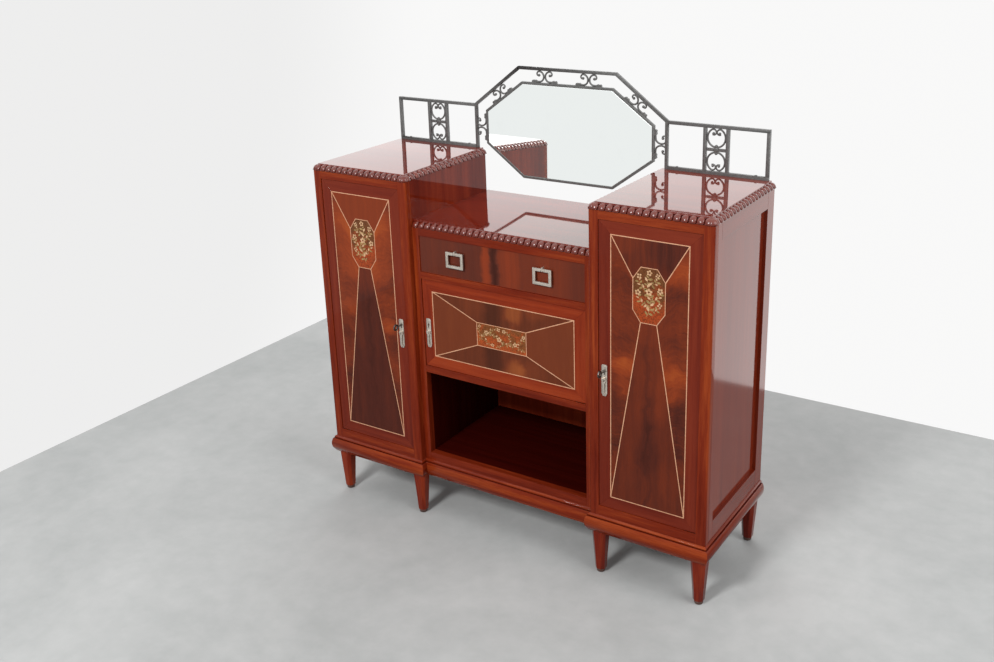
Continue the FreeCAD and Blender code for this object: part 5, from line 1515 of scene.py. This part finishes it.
@dataclass
class Drawer:
    """Drawer front in ribbon veneer, over the plain box."""

    veneer: float = 0.6 * MM
    lipping: float = 1.6 * MM

    def build(self) -> None:
        """Front with its veneer, a thin lipping round it and the core behind."""
        low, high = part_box("drawer_front")
        bench = Bench(seed=51)
        back = low.y + self.veneer
        outer = rectangle(low, high)
        inner = ring_outline(outer, self.lipping)
        bench.slip(inner, low.y, back, PAINT(DRAWER_LEAF))
        for index, strip in enumerate(mitred(outer, inner)):
            bench.slip(strip, low.y, back, PAINT(BORDER, Axis.Z if index % 2 else Axis.X))
        bench.slip(outer, back, high.y, PAINT(INTERIOR_AND_SHADE, Axis.X))
        bench.finish("drawer_front_veneered", "drawer", "veneer", ["drawer_front"])
        paint_node("drawer_box", PAINT(INTERIOR_AND_SHADE, Axis.Y))


# ---------------------------------------------------------------------------------------------
# Metalwork and mirror
# ---------------------------------------------------------------------------------------------
@dataclass
class Fittings:
    """Locks, escutcheons, drops, keys and ring pulls."""

    easing: float = 0.6 * MM
    drop_easing: float = 0.6 * MM * 1.4
    ring_easing: float = 0.6 * MM * 1.3
    eye_drop: float = 20 * MM
    # Size of the near-black block of painted shade behind each keyhole.
    mouth_half: float = 4.4 * MM
    mouth_below: float = 11 * MM
    mouth_above: float = 4.6 * MM
    mouth_front: float = 0.15 * MM
    mouth_back: float = 0.6 * MM

    def build(self) -> None:
        """Ease and dress each fitting."""
        nickel, steel, dark = PAINT(NICKEL), PAINT(STEEL), PAINT(DARK_STEEL)
        for side in ("right", "left", "centre"):
            softened(f"{side}_escutcheon", f"{side}_escutcheon_plate", nickel, "nickel", self.easing)
            softened(f"{side}_drop_handle", f"{side}_forked_drop", nickel, "nickel", self.drop_easing)
            self._keyhole(side)
            paint_node(f"{side}_lock_case", steel)
            paint_node(f"{side}_lock_bolt", steel)
        for side in ("right", "left"):
            softened(f"{side}_key", f"{side}_ring_key", dark, "lock_steel", self.easing)
            softened(f"{side}_ring_pull", f"{side}_square_ring", nickel, "nickel", self.ring_easing)
        softened("pull_posts", "ring_posts", nickel, "nickel", self.easing)
        for node in ("hinge_pivots", "strike_plates", "shelf_pegs"):
            paint_node(node, steel)

    def _keyhole(self, side: str) -> None:
        """Near-black block let into the door behind the plate, as painted shade seen through the keyhole."""
        low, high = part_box(f"{side}_escutcheon")
        middle, eye = (low.x + high.x) / 2, high.z - self.eye_drop
        bench = Bench(seed=61)
        bench.block((middle - self.mouth_half, high.y - self.mouth_front, eye - self.mouth_below),
                    (middle + self.mouth_half, high.y + self.mouth_back, eye + self.mouth_above),
                    PAINT(INTERIOR_AND_SHADE, Axis.Z))
        bench.finish(f"{side}_keyhole_mouth", f"{side}_door", "interior_wood")


class Stroke:
    """Strand of a scroll drawn in millimetres on its own flat (u, v) ground."""

    def __init__(self, u: float, v: float, thick: float = 1.0) -> None:
        """Begin at a place."""
        self.points: list[tuple[float, float, float]] = [(u, v, thick)]

    def to(self, u: float, v: float, thick: float = 1.0) -> "Stroke":
        """Straight on to a place."""
        self.points.append((u, v, thick))
        return self

    def arc(self, centre: Point, radius: float, start: float, end: float, thick: float = 1.0) -> "Stroke":
        """Along an arc between two angles in degrees, reaching a relative thickness at its end."""
        steps = max(3, round(abs(end - start) / 12))
        before = self.points[-1][2]
        for step in range(1, steps + 1):
            angle = math.radians(start + (end - start) * step / steps)
            self.points.append((centre[0] + radius * math.cos(angle), centre[1] + radius * math.sin(angle),
                                before + (thick - before) * step / steps))
        return self


# Half of each scroll, in millimetres: the mirror's from its frame, the gallery's from the collar.
MIRROR_SCROLL = (Stroke(44, 2.6).to(30, 2.6).to(19, 3).arc((19, 19), 16, 270, 180).to(3, 19.5)
                 .arc((19.5, 19.5), 16.5, 180, 90, 0.95).arc((19.5, 27.5), 8.5, 90, 0, 0.85)
                 .arc((22.5, 27.5), 5.5, 0, -110, 0.7).points)
MIRROR_HEART = (20.2, 23.6)
FRAME_LEAF = ((27, 0), (29, 6.0), (33, 8.4), (37, 6.6), (42, 8.2), (45.5, 5.6), (46, 0))
GALLERY_SCROLL = (Stroke(0, 7.6).arc((0, 36), 28.4, 270, 360).to(28.4, 36.8)
                  .arc((0, 36.8), 28.4, 0, 58, 0.95).arc((10.4, 52.6), 9.2, 58, 180, 0.85)
                  .arc((9.4, 52.6), 8.2, 180, 300, 0.65).points)
GALLERY_HEART = (9.8, 49.2)
GALLERY_FOOT = (0, 10.5)


@dataclass
class Ironwork:
    """Gallery rails, arch, scrolls and mirror frame in hammered iron."""

    easing: float = 0.7 * MM
    rod: float = 3.0 * MM
    ball: float = 4.6 * MM
    gap: float = 39.0
    slant_gap: float = 34.8
    side_gap: float = 46.0
    top_reach: float = 0.081
    slant_reach: float = 0.084
    side_drop: float = 0.058
    flat: float = 0.167
    shoulder_drop: float = 0.1045
    leaf_depth: float = 9 * MM
    panel_shift: float = 5 * MM
    curl_ball: float = 4.4 * MM
    foot_ball: float = 5.2 * MM
    tie: tuple[float, float, float] = (30.5 * MM, 3 * MM, 4.6 * MM)
    collar: tuple[Point, ...] = ((-4.6 * MM, 6.0 * MM), (-3.4 * MM, 8.2 * MM), (3.4 * MM, 8.2 * MM),
                                 (4.6 * MM, 6.0 * MM))

    def build(self) -> None:
        """Ease the bars and draw the scrolls."""
        iron = PAINT(IRON)
        for node in ("right_gallery_rail", "left_gallery_rail", "arch_frame", "mirror_frame"):
            softened(node, f"{node}_forged", iron, "wrought_iron", self.easing)
        paint_node("gallery_screws", iron)
        low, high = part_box("mirror_scrolls")
        self.depth = (low.y + high.y) / 2
        self._mirror_scrolls(iron)
        self._gallery_scrolls(iron)

    def _place(self, root: Point, outward: Vector, u: float, v: float) -> Vector:
        """Place in space of (u, v) in millimetres on a ground that stands on root and faces outward."""
        along = Vector((outward.y, -outward.x))
        spot = Vector(root) + along * (u * MM) + outward * (v * MM)
        return Vector((spot.x, self.depth, spot.y))

    def _mirror_scrolls(self, iron: bpy.types.Material) -> None:
        """Six pairs of scrolls back to back that hold the mirror in the arch."""
        _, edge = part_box("mirror_frame")
        shoulder = edge.z - self.shoulder_drop
        low, high = Vector((edge.x, shoulder)), Vector((self.flat, edge.z))
        slant = (high - low).normalized()
        foot = low + slant * self.slant_reach
        spots = [((self.top_reach, edge.z), Vector((0, 1)), self.gap),
                 (tuple(foot), Vector((slant.y, -slant.x)), self.slant_gap),
                 ((edge.x, shoulder - self.side_drop), Vector((1, 0)), self.side_gap)]
        strands = []
        bench = Bench(seed=71)
        for hand in (1, -1):
            for root, outward, gap in spots:
                root = (root[0] * hand, root[1])
                outward = Vector((outward.x * hand, outward.y))
                for way in (1, -1):
                    self._half_pair(strands, bench, root, outward, gap, way, iron)
        self._join("mirror_scrolls", strands, bench, iron)

    def _half_pair(self, strands: list, bench: Bench, root: Point, outward: Vector, gap: float, way: int,
                   iron: bpy.types.Material) -> None:
        """One scroll of a pair: leaf on the mirror frame, rising curve and a curl round a ball.

        Args:
            strands: list that takes the rod.
            bench: takes the ball and the leaf.
            root: middle of the pair on the mirror frame.
            outward: way from the mirror to the arch.
            gap: from the mirror frame to the arch, in millimetres.
            way: 1 or -1 along the frame.
            iron: material.
        """
        stretch = gap / self.gap
        strands.append([(self._place(root, outward, u * way, v * stretch), thick)
                        for u, v, thick in MIRROR_SCROLL])
        u, v = MIRROR_HEART
        self._ball(bench, self._place(root, outward, u * way, v * stretch), self.ball, iron)
        half = Vector((0, -self.leaf_depth / 2, 0))
        front = [self._place(root, outward, u * way, v) + half for u, v in FRAME_LEAF]
        bench.extrude(front, (0, self.leaf_depth, 0), iron)

    @staticmethod
    def _ball(bench: Bench, centre: Vector, radius: float, iron: bpy.types.Material) -> None:
        """Forged ball."""
        rows, columns = 8, 14
        profile = [(-radius * math.cos(angle), radius * math.sin(angle))
                   for angle in (math.pi * row / rows for row in range(rows + 1))]
        bench.turning(profile, centre, (0, 1, 0), iron, columns)

    def _gallery_scrolls(self, iron: bpy.types.Material) -> None:
        """Two hearts, one upright and one hanging, bound by a collar, in each gallery rail."""
        rail_low, rail_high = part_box("right_gallery_rail")
        scroll_low, scroll_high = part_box("gallery_scrolls")
        middle_x = (rail_low.x + rail_high.x) / 2 - self.panel_shift
        middle_z = (scroll_low.z + scroll_high.z) / 2
        half_x, half_y, half_z = self.tie
        u, v = GALLERY_HEART
        strands = []
        bench = Bench(seed=72)
        for hand in (1, -1):
            root = (middle_x * hand, middle_z)
            for outward in (Vector((0, 1)), Vector((0, -1))):
                for way in (1, -1):
                    strands.append([(self._place(root, outward, across * way, rise), thick)
                                    for across, rise, thick in GALLERY_SCROLL])
                    self._ball(bench, self._place(root, outward, u * way, v), self.curl_ball, iron)
                self._ball(bench, self._place(root, outward, *GALLERY_FOOT), self.foot_ball, iron)
            bench.block((root[0] - half_x, self.depth - half_y, middle_z - half_z),
                        (root[0] + half_x, self.depth + half_y, middle_z + half_z), iron)
            bench.turning(self.collar, (root[0], self.depth, middle_z), (0, 1, 0), iron)
        self._join("gallery_scrolls", strands, bench, iron)

    def _join(self, node: str, strands: list, bench: Bench, iron: bpy.types.Material) -> None:
        """One piece from the rods and what is on the bench, in place of a CAD node."""
        extra = poured(bench.mesh, node)
        rods = FORGE.draw(strands, self.rod, iron)
        gathered(f"{node}_forged", [rods, extra], iron, "cabinet", "wrought_iron", [node])


@dataclass
class MirrorGlass:
    """Plate glass, eased at its edge."""

    easing: float = 1.2 * MM
    easing_depth: float = 0.6 * MM

    def build(self) -> None:
        """Glass that replaces the plain plate, and its backing board."""
        work = merged("mirror_glass")
        low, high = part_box("mirror_glass")
        outline = self._front_outline(work, low.y)
        work.free()
        inner = ring_outline(outline, self.easing)
        bench = Bench(seed=61)
        rings = [[(x, high.y, z) for x, z in outline],
                 [(x, low.y + self.easing_depth, z) for x, z in outline],
                 [(x, low.y, z) for x, z in inner]]
        bench.loft(rings, PAINT(Glass()))
        piece = bench.finish("plate_mirror_glass", "cabinet", "mirror", ["mirror_glass"])
        for polygon in piece.data.polygons:
            polygon.use_smooth = False
        paint_node("mirror_backboard", PAINT(BACKING, Axis.X))

    @staticmethod
    def _front_outline(work: bmesh.types.BMesh, front: float) -> list[Point]:
        """Corners of the plate's front face, in order."""
        face = max((f for f in work.faces if abs(f.calc_center_median().y - front) < TOUCHING),
                   key=lambda f: f.calc_area())
        return [(corner.vert.co.x, corner.vert.co.z) for corner in face.loops]


# ---------------------------------------------------------------------------------------------
# Inside faces
# ---------------------------------------------------------------------------------------------
def dress_insides() -> None:
    """Materials of the plain boards that stay as they are."""
    # The centre's sides, boards and shelves are near-black as painted shade in the niche.
    for wood, axis, nodes in (
            (END_WOOD, Axis.Z, ("end_panels",)), (INNER_WOOD, Axis.Z, ("inner_sides",)),
            # Back panels take the lighter back finish as painted light.
            (INTERIOR_AND_SHADE, Axis.Z, ("centre_sides",)), (LIT_BACK_WOOD, Axis.Z, ("back_panels",)),
            (INTERIOR_AND_SHADE, Axis.X, ("centre_boards", "floor_boards", "shelves"))):
        for node in nodes:
            paint_node(node, PAINT(wood, axis))


# ---------------------------------------------------------------------------------------------
# Studio
# ---------------------------------------------------------------------------------------------
@dataclass(frozen=True)
class Lamp:
    """Square area light."""

    name: str
    place: tuple[float, float, float]
    aim: tuple[float, float, float]
    size: float
    power: float
    mirrored: bool = True

    def hang(self) -> None:
        """Put the light in the scene."""
        data = bpy.data.lights.new(self.name, "AREA")
        data.size = self.size
        data.energy = self.power
        light = linked(self.name, data)
        light.location = self.place
        light.visible_glossy = self.mirrored
        light.rotation_mode = "QUATERNION"
        light.rotation_quaternion = (Vector(self.aim) - Vector(self.place)).to_track_quat("-Z", "Y")


@dataclass(frozen=True)
class Room:
    """Brightness of the white room: what the camera, the polish and the matt faces see of it."""

    seen: float = 0.945
    seen_left: float = 0.09
    behind: float = 2.15
    behind_again: float = 0.9
    front: float = 0.92
    front_again: float = 1.7
    overhead: float = 1.6
    scattered: float = 0.44


@dataclass
class Studio:
    """Pale floor, soft light and the camera."""

    eye: tuple[float, float, float] = (1.7332, -2.71805, 1.9802)
    yaw: float = math.radians(32.511)
    pitch: float = math.radians(18.555)
    roll: float = math.radians(-1.418)
    frame_size: tuple[int, int] = (994, 662)
    focal: float = 1079.04
    sensor: float = 36.0
    far: float = 60.0
    axis_at: tuple[float, float] = (531.0, 264.0)
    floor_left: float = -1.9
    floor_back: float = 1.306
    floor_right: float = 6.0
    floor_front: float = -3.0
    plaster: Plaster = Plaster("floor_plaster", (0.470, 0.478, 0.474), (0.375, 0.385, 0.382))
    lamps: tuple[Lamp, ...] = (
        Lamp("soft_back", (-1.5, 2.7, 3.0), (-1.0, 0.3, 0), 2.6, 60.0, mirrored=False),
        Lamp("soft_key", (-0.25, -4.4, 3.9), (0, 0, 0.6), 0.9, 205.0),
        Lamp("soft_fill", (4.2, -0.6, 3.6), (1.9, 0.0, 0.0), 3.0, 120.0))
    room: Room = Room()

    def build(self) -> None:
        """Set everything up."""
        bpy.context.scene.view_settings.view_transform = "Standard"
        self._camera()
        self._floor()
        for lamp in self.lamps:
            lamp.hang()
        self._surroundings()

    def _camera(self) -> None:
        """Camera with its optical axis a little off the frame's middle."""
        width, height = self.frame_size
        data = bpy.data.cameras.new("camera")
        data.sensor_width = self.sensor
        data.lens = self.focal / width * data.sensor_width
        data.shift_x = (width / 2 - self.axis_at[0]) / width
        data.shift_y = (self.axis_at[1] - height / 2) / width
        data.clip_end = self.far
        reach = math.cos(self.pitch)
        ahead = Vector((-math.sin(self.yaw) * reach, math.cos(self.yaw) * reach, -math.sin(self.pitch)))
        level = Vector((math.cos(self.yaw), math.sin(self.yaw), 0))
        above = level.cross(ahead)
        right = level * math.cos(self.roll) + above * math.sin(self.roll)
        up = above * math.cos(self.roll) - level * math.sin(self.roll)
        turn = Matrix((right, up, -ahead)).transposed()
        camera = linked("camera", data)
        camera.matrix_world = Matrix.Translation(self.eye) @ turn.to_4x4()
        bpy.context.scene.camera = camera

    def _floor(self) -> None:
        """Flat floor that ends behind and to the left of the piece."""
        mesh = bpy.data.meshes.new("floor")
        corners = [(self.floor_left, self.floor_front, 0), (self.floor_right, self.floor_front, 0),
                   (self.floor_right, self.floor_back, 0), (self.floor_left, self.floor_back, 0)]
        mesh.from_pydata(corners, [], [(0, 1, 2, 3)])
        mesh.materials.append(self.plaster.material())
        floor = linked("floor", mesh)

    def _surroundings(self) -> None:
        """White room: bright behind the piece, paler to the left, dim in front."""
        world = bpy.data.worlds.new("white_room")
        world.use_nodes = True
        bpy.context.scene.world = world
        shader = Shader("white_room", world.node_tree)
        x, y, z = shader.parts(shader.node("ShaderNodeTexCoord").outputs["Generated"])
        path = shader.node("ShaderNodeLightPath")
        direct, mirrored, diffuse = (shader.wire(path, f"Is {kind} Ray")
                                     for kind in ("Camera", "Glossy", "Diffuse"))
        again = shader.wire(path, "Glossy Depth").above(1.5)
        behind = y.between(-0.1, 0.3)
        overhead = z.between(0.3, 0.6) * (1 - behind) * (1 - again)
        left = x.between(-0.60, -0.72) * z.between(0.06, -0.02)
        room = self.room
        seen = room.seen - left * room.seen_left
        gloss = behind * (room.behind - again * room.behind_again)
        gloss = gloss + (1 - behind) * (again * room.front_again + room.front) + overhead * room.overhead
        strength = direct * seen + mirrored * gloss + diffuse * room.scattered
        sockets = {"Color": (1.0, 0.998, 0.995, 1.0), "Strength": strength}
        background = shader.node("ShaderNodeBackground", {}, sockets)
        shader.node("ShaderNodeOutputWorld", {}, {"Surface": background.outputs[0]})


# ---------------------------------------------------------------------------------------------
# Assembly
# ---------------------------------------------------------------------------------------------
def main() -> None:
    """Build every sub-assembly in order."""
    logging.basicConfig(level=logging.INFO, format="%(name)s: %(message)s")
    stages = [
        ("studio", Studio()),
        ("right cupboard", TallCupboard(Hand.RIGHT)),
        ("left cupboard", TallCupboard(Hand.LEFT)),
        ("centre frame", CentreFrame()),
        ("plinths", Plinths()),
        ("legs", Legs()),
        ("right top", Top("right_top", True)),
        ("left top", Top("left_top", True)),
        ("centre top", Top("centre_top", False)),
        ("right door", Door("right", Hand.RIGHT)),
        ("left door", Door("left", Hand.LEFT, seed=44)),
        ("centre door", Door("centre", Hand.RIGHT, seed=47)),
        ("drawer", Drawer()),
        ("fittings", Fittings()),
        ("ironwork", Ironwork()),
        ("mirror", MirrorGlass()),
    ]
    for label, part in stages:
        part.build()
        LOG.info("built the %s", label)
    dress_insides()
    LOG.info("dressed the inside boards")


if __name__ == "__main__":
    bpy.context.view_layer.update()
    main()
